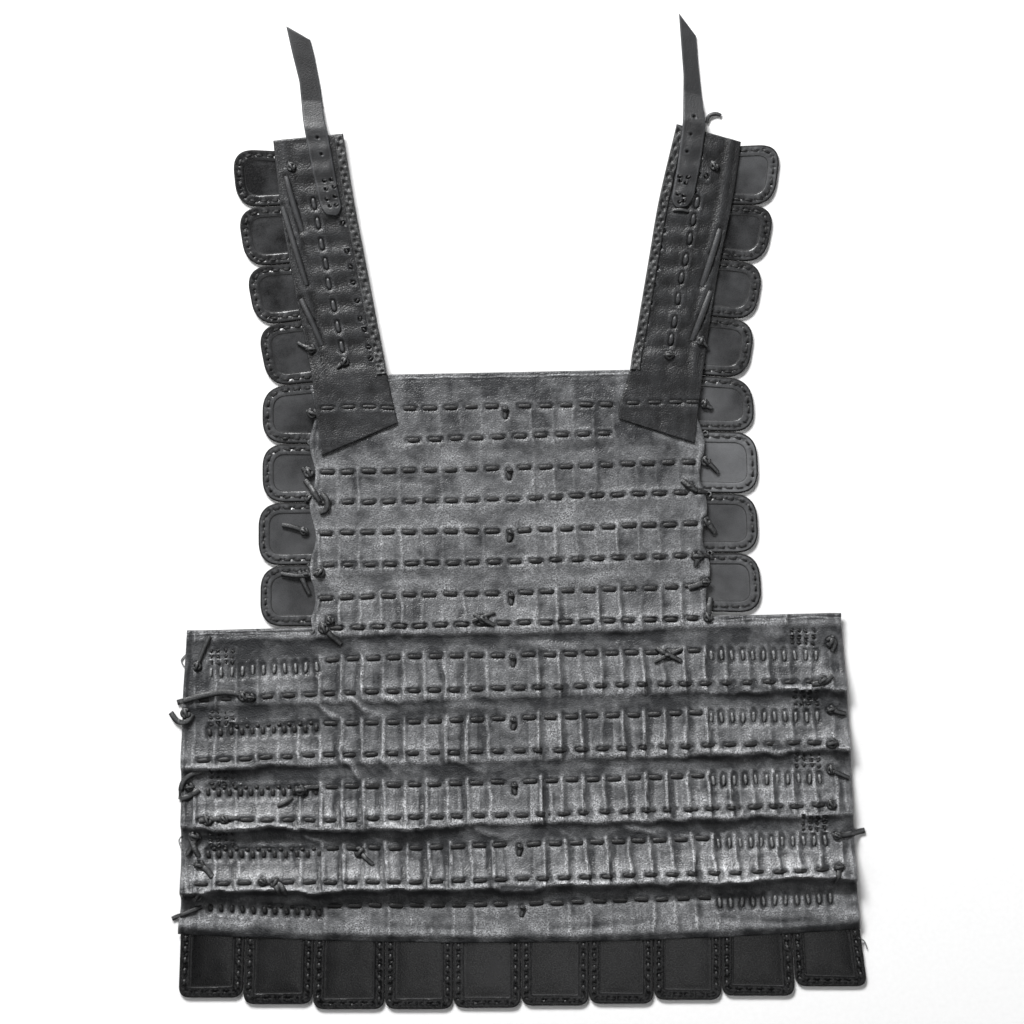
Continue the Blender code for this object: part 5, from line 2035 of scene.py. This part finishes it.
@dataclass
class ShoulderPanel:
    """A shoulder panel of the lining, with its pointed flap that lies on the chest."""

    side: str
    sections: tuple
    lining: BodyLining
    wall: float = 2.0
    cell: float = 1.8
    rim: tuple[float, ...] = (0.5, 1.2, 2.2)
    width: float = 65.0
    under_shoulder: float = 2.8
    plate_pitch: float = 18.1
    stitch_pitch: float = 10.4
    binding: Point = (0.865, 0.995)
    binding_middle: float = 0.93
    calm_wear: float = 0.17
    dents: list = field(default_factory=list)

    def ends(self, along: Array) -> tuple[Array, ...]:
        """Find the panel's edges.

        Args:
            along: Places along the panel.

        Returns:
            The outer x and y and the inner x and y at each place.
        """
        table = np.array(self.sections)
        steps = run_along(table[:, :2])
        return tuple(bend(steps, table[:, column], along) for column in range(4))

    @property
    def length(self) -> float:
        """Return the panel's length along its outer edge."""
        table = np.array(self.sections)
        return float(np.hypot(*np.diff(table[:, :2], axis=0).T).sum())

    def find(self, x: Array, y: Array) -> tuple[Array, Array]:
        """Find places on the panel, step by step.

        Args:
            x: Places across the armour.
            y: Places along it.

        Returns:
            How far along the panel, and at what share of its width, each place lies.
        """
        table = np.array(self.sections)
        along = np.clip(table[0, 1] - y, 0.0, self.length)
        share = np.full_like(along, 0.5)
        for _ in range(8):
            ax, ay, bx, by = self.ends(along)
            square = (bx - ax) ** 2 + (by - ay) ** 2
            share = ((x - ax) * (bx - ax) + (y - ay) * (by - ay)) / square
            off = (ay + share * (by - ay)) - y
            along = np.clip(along + 0.9 * off, 0.0, self.length)
        return along, share

    def height(self, x: Array, y: Array, along: Array, share: Array) -> Array:
        """Return the height of the panel's upper face, before its stitches pull it in.

        Args:
            x: Places across the armour.
            y: Places along it.
            along: How far along the panel each place lies.
            share: Its share of the panel's width, from the outer edge.

        Returns:
            Heights above the table.
        """
        outer_x, outer_y, inner_x, inner_y = self.ends(along)
        width = np.hypot(inner_x - outer_x, inner_y - outer_y)
        from_outer, from_inner = share * width, (1.0 - share) * width
        chest = self.lining.top(x, np.minimum(y, self.lining.neck_edge(x) - 3.0)) + 0.1
        past = self.lining.neck_edge(x) - y
        onto = smooth(past, -30.0, -2.0)
        under = self.under_shoulder + (chest - self.under_shoulder) * onto
        under += 0.7 * hump(past, 2.0, 7.0)
        height = under + self.wall
        strap = 1.0 - smooth(past, -20.0, 5.0)
        # The lace rolled in along the outer edge, and the plates across the strap
        height += 0.9 * hump(from_outer, 9.0, 3.4) * (0.35 + 0.65 * strap)
        turn = along / self.plate_pitch + 0.3
        plate = np.abs(turn - np.round(turn)) * 2.0
        middle = smooth(from_outer, 14.0, 22.0) * smooth(from_inner, 10.0, 18.0)
        height += strap * middle * (0.55 + 0.45 * np.cos(math.pi * plate))
        height += 0.34 * ripple(x, y, 13.0, 24.0, 700 + len(self.side))
        height += 0.18 * ripple(x, y, 6.0, 9.0, 710 + len(self.side))
        height += 0.09 * ripple(x, y, 3.4, 3.8, 720)
        return height

    def top(self, x: Array, y: Array) -> Array:
        """Return the height of the upper face at places on the panel.

        Args:
            x: Places across the armour.
            y: Places along it.

        Returns:
            Heights above the table.
        """
        x, y = np.asarray(x, float), np.asarray(y, float)
        along, share = self.find(x, y)
        return self.height(x, y, along, np.clip(share, 0.0, 1.0))

    def strip(self, name: str, start: float, end: float, from_share: float, to_share: float,
              wall: float, lift: Callable, material: Material, slot: Slot) -> Mesh:
        """Build a part of the panel, or a strip that lies on it.

        Args:
            name: Name of the piece.
            start: Where it starts along the panel.
            end: Where it ends.
            from_share: Share of the panel's width where it starts.
            to_share: Share of the panel's width where it ends.
            wall: Thickness of its leather.
            lift: Gives the height of its upper face from x, y, along and share.
            material: Finish of its leather.
            slot: Material slot of the record.

        Returns:
            The piece.
        """
        width = abs(to_share - from_share) * self.width
        cell, rim = (self.cell, self.rim) if width > 20.0 else (1.1, (0.4, 0.9))
        along = spaced(start, end, cell, rim)
        places = spaced(0.0, width, cell, rim) / width
        share = from_share + (to_share - from_share) * places
        grid_along, grid_share = np.meshgrid(along, share, indexing="ij")
        ax, ay, bx, by = self.ends(grid_along)
        x, y = ax + (bx - ax) * grid_share, ay + (by - ay) * grid_share
        top = lift(x, y, grid_along, grid_share)
        near = np.minimum.reduce([
            grid_along - start, end - grid_along,
            np.abs(grid_share - from_share) * self.width,
            np.abs(to_share - grid_share) * self.width,
        ])
        inside = np.clip(1.0 - near / 1.5, 0.0, 1.0)
        top = pull_in(self.dents, x, y, top) if slot is Slot.LINING else top
        wear_and_shade = wear_and_shade_of(top, self.calm_wear)
        if slot is Slot.TAB:
            wear_and_shade += 0.6 * hump(end - grid_along, 1.0, 0.9)
        else:
            wear_and_shade += 0.14 * smooth(self.lining.neck_edge(x) - y, 0.0, 30.0)
        under = top - wall
        top = top - 0.45 * wall * (1.0 - np.sqrt(1.0 - inside ** 2))
        if x[0, -1] < x[0, 0]:
            x, y, top, under, wear_and_shade = (values[:, ::-1] for values in (x, y, top, under, wear_and_shade))
        shell = Shell(x, y, top, under, every(len(along), 3), every(len(share), 4))
        points, faces = shell.points_and_faces()
        return make_piece(name, points, faces, material, wear_and_shade=shell.spread(wear_and_shade))

    def build(self, material: Material, edging: Material) -> None:
        """Build the panel and the binding along its inner edge.

        Args:
            material: Finish of the panel.
            edging: Finish of the binding.
        """
        panel = self.strip(f"shoulder_panel_{self.side}", 0.0, self.length, 0.0, 1.0, self.wall,
                           self.height, material, Slot.LINING)
        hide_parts(f"panel_shoulder_{self.side}")

        def bound(x: Array, y: Array, along: Array, share: Array) -> Array:
            """Crumple the binding's upper face and pull it in at its stitches.

            Args:
                x: Places across the armour.
                y: Places along it.
                along: How far along the panel each place lies.
                share: Its share of the panel's width.

            Returns:
                Heights above the table.
            """
            face = self.height(x, y, along, share) + 1.5
            face += 0.3 * ripple(x, y, 4.4, 5.0, 730) + 0.2 * ripple(x, y, 2.4, 2.6, 731)
            outer_x, outer_y, inner_x, inner_y = self.ends(along)
            off = share - self.binding_middle
            off = off * np.hypot(inner_x - outer_x, inner_y - outer_y)
            for start, aside in ((0.0, -1.3), (self.stitch_pitch / 2.0, 1.3)):
                turn = (along - start) / self.stitch_pitch
                gap = np.hypot((turn - np.round(turn)) * self.stitch_pitch, 1.2 * (off - aside))
                face = face - 1.2 * hump(gap, 0.0, 1.6) + 0.2 * hump(gap, 3.0, 0.9)
            return face

        end = float(run_along(np.array(self.sections)[:7, :2])[-1])
        binding = self.strip(f"shoulder_binding_{self.side}", 1.0, end, *self.binding, 1.2, bound,
                             edging, Slot.TAB)
        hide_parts(f"binding_shoulder_{self.side}")
        LOG.info("shoulder panel %s built", self.side)


@dataclass(frozen=True)
class ShoulderSewing:
    """What is laced and sewn through one shoulder panel and its tongue."""

    middle: tuple[Point, ...]
    laces: tuple
    knots: tuple[Point, ...]
    tails: tuple
    pulled: tuple[Point, ...]
    flap: tuple[Point, ...]
    tongue: tuple[Point, ...]


LEFT_SEWING = ShoulderSewing(
    middle=((-183.0, 270.2), (-179.4, 253.0), (-176.2, 234.5), (-172.4, 217.4), (-170.0, 199.8),
            (-165.6, 180.4), (-161.8, 161.9), (-158.3, 144.3)),
    laces=(((-207.6, 294.5), (-201.0, 270.0), (-193.5, 246.5)),
           ((-210.8, 268.0), (-201.6, 238.0), (-189.6, 199.0)),
           ((-194.5, 186.6), (-184.7, 166.3), (-176.2, 146.0))),
    knots=((-203.0, 303.0), (-185.3, 142.6), (-156.1, 131.5)),
    tails=(((-185.6, 143.4), (-191.8, 145.2), (-197.5, 148.4)),
           ((-157.5, 131.0), (-160.0, 128.5), (-163.0, 125.8))),
    pulled=((-157.6, 253.0), (-153.9, 228.3), (-150.4, 214.7), (-148.5, 201.0), (-144.7, 185.1),
            (-142.2, 169.0), (-138.5, 159.3), (-134.8, 144.3), (-133.0, 133.8)),
    flap=((-170.6, 90.6), (-152.2, 91.5), (-134.1, 91.7), (-117.8, 90.6)),
    tongue=((-174.1, 290.0), (-165.5, 284.7), (-172.4, 282.7), (-168.0, 291.0), (-164.6, 276.3),
            (-171.7, 273.9), (-163.6, 268.6), (-169.0, 268.0), (-179.8, 328.3), (-176.4, 313.6)),
)
RIGHT_SEWING = ShoulderSewing(
    middle=((154.1, 271.4), (150.8, 256.0), (147.8, 239.5), (144.1, 221.0), (140.4, 205.0),
            (137.4, 186.6), (134.2, 166.3), (131.2, 150.5)),
    laces=(((174.6, 248.2), (167.6, 226.0), (158.6, 198.0)),
           ((166.4, 193.5), (157.6, 170.4), (150.0, 150.0))),
    knots=((169.3, 303.8), (129.4, 137.3), (157.6, 149.4)),
    tails=(((155.0, 150.5), (160.1, 148.0), (163.4, 143.8)),
           ((133.0, 264.5), (139.5, 265.0), (146.5, 263.6)),
           ((163.0, 342.0), (164.9, 348.1), (171.7, 350.2), (175.6, 348.7))),
    pulled=((155.1, 296.4), (162.5, 294.0), (157.1, 313.6), (151.7, 281.7), (124.6, 246.0),
            (121.5, 232.0), (118.6, 214.0), (115.9, 199.0), (112.6, 183.0), (109.4, 166.0),
            (106.2, 150.0)),
    flap=((97.8, 95.0), (117.1, 95.5), (135.6, 95.9), (150.0, 95.9)),
    tongue=((138.4, 293.9), (145.7, 293.0), (143.8, 288.0), (138.9, 290.0), (141.9, 276.8),
            (136.9, 278.3), (138.4, 271.4), (142.3, 272.4), (148.7, 331.2), (145.3, 316.0),
            (151.6, 347.0)),
)
# Tongues: left and right edge points of each section, from the sewn end out
LEFT_TONGUE = (
    (-173.5, 260.5, -161.0, 259.0), (-177.5, 270.0, -158.8, 267.5), (-184.0, 298.0, -164.2, 296.0),
    (-191.0, 334.0, -170.8, 333.0), (-193.0, 346.0, -173.8, 345.0), (-194.6, 362.0, -175.8, 361.0),
    (-196.3, 379.0, -177.6, 373.4), (-202.8, 404.8, -183.0, 402.0), (-207.9, 427.7, -186.5, 415.4),
)
RIGHT_TONGUE = (
    (134.0, 266.4, 147.0, 268.0), (131.5, 275.0, 151.5, 278.0), (136.6, 303.0, 157.0, 305.5),
    (141.6, 342.0, 161.8, 338.0), (142.0, 354.0, 160.4, 351.0), (142.4, 371.1, 158.6, 366.0),
    (142.5, 385.0, 156.8, 382.3), (141.3, 400.4, 155.0, 400.0), (138.5, 439.1, 153.6, 418.9),
)
# Height of the tongue's underside where it has left the panel
TONGUE_UNDER = (3.0, 3.0, 3.0, 3.0, 3.0, 0.0, 0.0, 0.0, 0.0)


@dataclass
class Tongue:
    """A strap tongue, sewn on its panel, that runs out over the panel's top edge."""

    side: str
    stations: tuple
    panel: ShoulderPanel
    holes: tuple[Point, ...]
    wall: float = 2.0
    cell: float = 1.0
    rim: Point = (0.5, 1.1)
    width: float = 18.0
    round_end: float = 7.0
    gap: float = 0.25
    sewn_holes: int = 8
    stitch: Stitching = Stitching(4.2, 1.7, 1.0, 0.1, 1.2, steps=7)
    calm_wear: float = 0.22
    cut_wear: float = 0.7

    def build(self, finishes: Finishes) -> Mesh:
        """Build the tongue with its holes and the stitches that hold it on the panel.

        Args:
            finishes: Gives the finishes of the tongue and its stitches.

        Returns:
            The tongue's object.
        """
        table = np.array(self.stations, float)
        steps = run_along((table[:, :2] + table[:, 2:]) / 2.0)
        along = spaced(0.0, float(steps[-1]), self.cell, self.rim)
        share = spaced(0.0, self.width, self.cell, self.rim) / self.width
        grid_along, grid_share = np.meshgrid(along, share, indexing="ij")
        ax, ay, bx, by = (np.interp(grid_along, steps, table[:, column]) for column in range(4))
        near_end = 1.0 - np.minimum(grid_along, self.round_end) / self.round_end
        round_end = np.sqrt(np.clip(1.0 - near_end ** 2, 0.0, 1.0))
        place = 0.5 + (grid_share - 0.5) * (0.45 + 0.55 * round_end)
        x, y = ax + (bx - ax) * place, ay + (by - ay) * place
        on_panel = self.panel.top(x, y) + self.gap
        low = np.interp(grid_along, steps, TONGUE_UNDER)
        leaves, left = steps[3] + 1.0, steps[4] + 2.0
        mix = smooth(grid_along, leaves, left)
        base = np.where(grid_along > left, low, on_panel * (1.0 - mix) + low * mix)
        edge = np.minimum.reduce([grid_along, steps[-1] - grid_along, grid_share * self.width,
                                  (1.0 - grid_share) * self.width])
        inside = np.clip(1.0 - edge / 1.3, 0.0, 1.0)
        top = base + self.wall + 0.12 * ripple(x, y, 9.0, 14.0, 740)
        top = pull_in([Dent(*hole, 0.2, 1.2, 0.0, 1.3, 0.25) for hole in self.holes], x, y, top)
        wear_and_shade = np.where(edge < 1.2, self.cut_wear, wear_and_shade_of(top, self.calm_wear))
        under_face = np.minimum(base, top - 0.8)
        top -= 0.8 * (1.0 - np.sqrt(1.0 - inside ** 2))
        flip = slice(None, None, -1)
        shell = Shell(x[flip], y[flip], top[flip], under_face[flip],
                      every(len(along), 3), every(len(share), 3))
        points, faces = shell.points_and_faces()
        item = make_piece(f"tongue_{self.side}", points, faces, finishes.strap,
                          wear_and_shade=shell.spread(wear_and_shade[flip]))
        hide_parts(f"strap_tongue_{self.side}")
        stitches = Thongs(f"tongue_stitches_{self.side}")

        def face(at_x: Array, at_y: Array) -> Array:
            """Return the height of the tongue's upper face on the panel."""
            return self.panel.top(at_x, at_y) + self.gap + self.wall

        for number, (hole_x, hole_y) in enumerate(self.holes[:self.sewn_holes]):
            self.stitch.sew(stitches, (hole_x + 1.2, hole_y + 0.8), 35.0 * number, face)
        stitches.build(finishes.thong)
        LOG.info("tongue %s built", self.side)
        return item


@dataclass
class ShoulderLacing:
    """The laces, stitches and knots of one shoulder."""

    side: str
    sewing: ShoulderSewing
    panel: ShoulderPanel
    lace_width: float = 5.4
    lace_thick: float = 1.7
    tail_width: float = 3.4
    tail_thick: float = 1.5
    knot_size: float = 8.6
    tab_height: float = 2.7
    middle: Stitching = Stitching(11.0, 4.2, 2.0, 0.1, 1.7, 0.35)
    flap: Stitching = Stitching(11.0, 3.4, 1.2, -0.6, 1.2)
    pulled: Stitching = Stitching(4.4, 1.8, 1.0, -0.2, 1.2, steps=7)

    def rest(self, x: Array, y: Array) -> Array:
        """Find what carries a lace: the panel, a tab beside it, or the table beyond its end.

        Args:
            x: Places across.
            y: Places along.

        Returns:
            Its height at each place.
        """
        along, share = self.panel.find(np.asarray(x, float), np.asarray(y, float))
        on_panel = self.panel.height(x, y, along, np.clip(share, 0.0, 1.0))
        outer_x, outer_y, inner_x, inner_y = self.panel.sections[0]
        slope = (inner_y - outer_y) * (x - outer_x) / (inner_x - outer_x)
        beside = np.where((share > 0.0) & (share < 1.0), on_panel, self.tab_height)
        return np.where(y > outer_y + slope + 0.5, 0.0, beside)

    def turns(self, places: Sequence[Point]) -> list[float]:
        """Find the directions of a line of stitches.

        Args:
            places: The stitches' places.

        Returns:
            The direction at each of them in degrees.
        """
        run = np.gradient(np.array(places), axis=0)
        return [math.degrees(math.atan2(y, x)) for x, y in run]

    def mark(self) -> None:
        """Give the panel its dents before it is built."""
        dents = self.panel.dents
        for (x, y), turn in zip(self.sewing.middle, self.turns(self.sewing.middle)):
            dents.append(Dent(x, y, self.middle.length * 0.36, 2.3, turn, 0.9, 0.55))
        for (x, y), turn in zip(self.sewing.flap, self.turns(self.sewing.flap)):
            dents.append(Dent(x, y, 4.4, 2.2, turn, 0.9, 0.2))
        for number, (x, y) in enumerate(self.sewing.pulled):
            dents.append(Dent(x, y, 0.6, 1.7, 50.0 * number, 1.7, 0.7))
        for lace in self.sewing.laces:
            for (ax, ay), (bx, by) in zip(lace, lace[1:]):
                turn, half = math.atan2(by - ay, bx - ax), math.hypot(bx - ax, by - ay) / 2.0
                dents.append(Dent((ax + bx) / 2.0, (ay + by) / 2.0, half, 3.1,
                                  math.degrees(turn), 0.5, 0.3))

    def build(self, material: Material, lace: Material, knot: Material) -> None:
        """Build the stitches of dark thong, the outer laces, and the knots.

        Args:
            material: Finish of the dark thongs.
            lace: Finish of the flat laces, cut from the panel's own hide.
            knot: Finish of the knots and free ends.
        """
        thongs = Thongs(f"shoulder_stitches_{self.side}")
        for place, turn in zip(self.sewing.flap, self.turns(self.sewing.flap)):
            self.flap.sew(thongs, place, turn, self.panel.top)
        for number, place in enumerate(self.sewing.pulled):
            self.pulled.sew(thongs, place, 70.0 + 41.0 * number, self.rest)
        thongs.build(material)
        laces = Thongs(f"shoulder_laces_{self.side}")
        for place, turn in zip(self.sewing.middle, self.turns(self.sewing.middle)):
            self.middle.sew(laces, place, turn, self.panel.top)
        for places in self.sewing.laces:
            laces.strand(places, self.lace_width, self.lace_thick, self.rest, lift=0.55,
                         start_dive=1.5, end_dive=1.5)
        knots = Thongs(f"shoulder_knots_{self.side}")
        for places in self.sewing.tails:
            knots.strand(places, self.tail_width, self.tail_thick, self.rest, arch=0.5,
                         start_dive=0.5)
        for number, place in enumerate(self.sewing.knots):
            knots.knot(place, 37.0 + 63.0 * number, self.knot_size, self.rest)
        laces.build(lace)
        knots.build(knot)


# ---- stage ----


@dataclass(frozen=True)
class Lamp:
    """One softbox of the studio, with its size in metres and its power in watts."""

    name: str
    place: tuple[float, float, float]
    aim: tuple[float, float, float]
    width: float
    height: float
    power: float


@dataclass(frozen=True)
class Studio:
    """The pale floor, the soft studio light and the camera straight above, in metres."""

    lens_mm: float = 85.0
    sensor_mm: float = 36.0
    eye: tuple[float, float, float] = (-0.0087, -0.0009, 2.133)
    floor_half: float = 4.0
    floor_z: float = -0.0005
    ambient: float = 0.05
    lamps: tuple[Lamp, ...] = (
        Lamp("key_softbox", (-1.3, 3.1, 2.1), (0.1, -0.4, 0.0), 1.9, 0.95, 315.0),
        Lamp("top_softbox", (0.15, -0.9, 2.7), (0.05, -0.4, 0.0), 1.3, 1.2, 5.2),
        Lamp("left_strip", (-1.9, 0.2, 1.15), (0.0, -0.2, 0.0), 0.5, 1.2, 9.0),
        Lamp("right_strip", (1.9, -0.2, 1.0), (0.0, -0.2, 0.0), 0.5, 1.2, 8.0),
    )

    def paper(self) -> Material:
        """Make matt white background paper, with its faint cloud of fibres.

        Returns:
            The new material.
        """
        paper = bpy.data.materials.new("white_paper")
        paper.use_nodes = True
        tree = paper.node_tree
        shader = tree.nodes["Principled BSDF"]
        fibre = add_node(tree, "TexNoise", {"Scale": 260.0, "Detail": 4.0}, {
            "Vector": add_node(tree, "TexCoord").outputs["Object"],
        })
        tone = add_node(tree, "Mix", {
            "data_type": "RGBA", 6: linear("#f4f4f4"), 7: linear("#fdfdfd"),
        }, {0: fibre.outputs["Fac"]})
        tree.links.new(tone.outputs[2], shader.inputs["Base Color"])
        shader.inputs["Roughness"].default_value = 0.9
        return paper

    def build(self) -> None:
        """Make the camera, the floor, the lamps and the pale surround."""
        scene = bpy.context.scene
        scene.view_settings.view_transform = "Standard"
        camera = bpy.data.cameras.new("camera")
        camera.lens, camera.sensor_width = self.lens_mm, self.sensor_mm
        eye = bpy.data.objects.new("camera", camera)
        eye.location = self.eye
        scene.collection.objects.link(eye)
        scene.camera = eye
        floor = bpy.data.meshes.new("floor")
        corners = ((-1, -1), (1, -1), (1, 1), (-1, 1))
        floor.from_pydata([(x * self.floor_half, y * self.floor_half, self.floor_z)
                           for x, y in corners], [], [(0, 1, 2, 3)])
        floor.materials.append(self.paper())
        ground = bpy.data.objects.new("floor", floor)
        scene.collection.objects.link(ground)
        for lamp in self.lamps:
            light = bpy.data.lights.new(lamp.name, "AREA")
            light.shape, light.energy = "RECTANGLE", lamp.power
            light.size, light.size_y = lamp.width, lamp.height
            box = bpy.data.objects.new(lamp.name, light)
            box.location = lamp.place
            aim = Vector(lamp.aim) - Vector(lamp.place)
            box.rotation_euler = aim.to_track_quat("-Z", "Y").to_euler()
            scene.collection.objects.link(box)
        world = bpy.data.worlds.new("studio")
        world.use_nodes = True
        background = world.node_tree.nodes["Background"]
        background.inputs["Color"].default_value = linear("#ffffff")
        background.inputs["Strength"].default_value = self.ambient
        scene.world = world
        LOG.info("stage: %d lamps", len(self.lamps))


def finish_cad_nodes(finishes: Finishes) -> None:
    """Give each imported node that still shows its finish.

    Args:
        finishes: The armour's finishes.
    """
    for name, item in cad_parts.items():
        finish = finishes.steel if name.startswith("lamellae") else finishes.tab
        if name.startswith("tab_hem"):
            finish = finishes.hem
        for holder in item.material_slots:
            holder.material = finish


def main() -> None:
    """Build the armour's pieces in order."""
    logging.basicConfig(level=logging.INFO, format="%(message)s")
    finishes = Finishes()
    Studio().build()
    finish_cad_nodes(finishes)
    lining = BodyLining()
    lacing = Lacing(lining)
    lacing.mark()
    knots = Knots(lining)
    knots.mark()
    lining.build(True, finishes.lining)
    lining.build(False, finishes.lining)
    lacing.build(finishes.thong, finishes.pale_thong)
    knots.build(finishes.tail, finishes.pale_thong)
    for side, sections, stations, sewing in (
        ("left", LEFT_SECTIONS, LEFT_TONGUE, LEFT_SEWING),
        ("right", RIGHT_SECTIONS, RIGHT_TONGUE, RIGHT_SEWING),
    ):
        panel = ShoulderPanel(side, sections, lining)
        shoulder_lacing = ShoulderLacing(side, sewing, panel)
        shoulder_lacing.mark()
        panel.build(finishes.shoulder, finishes.edging)
        shoulder_lacing.build(finishes.thong, finishes.strap, finishes.tail)
        Tongue(side, stations, panel, sewing.tongue).build(finishes)
    Tabs(lining).build(finishes)


if __name__ == "__main__":
    main()
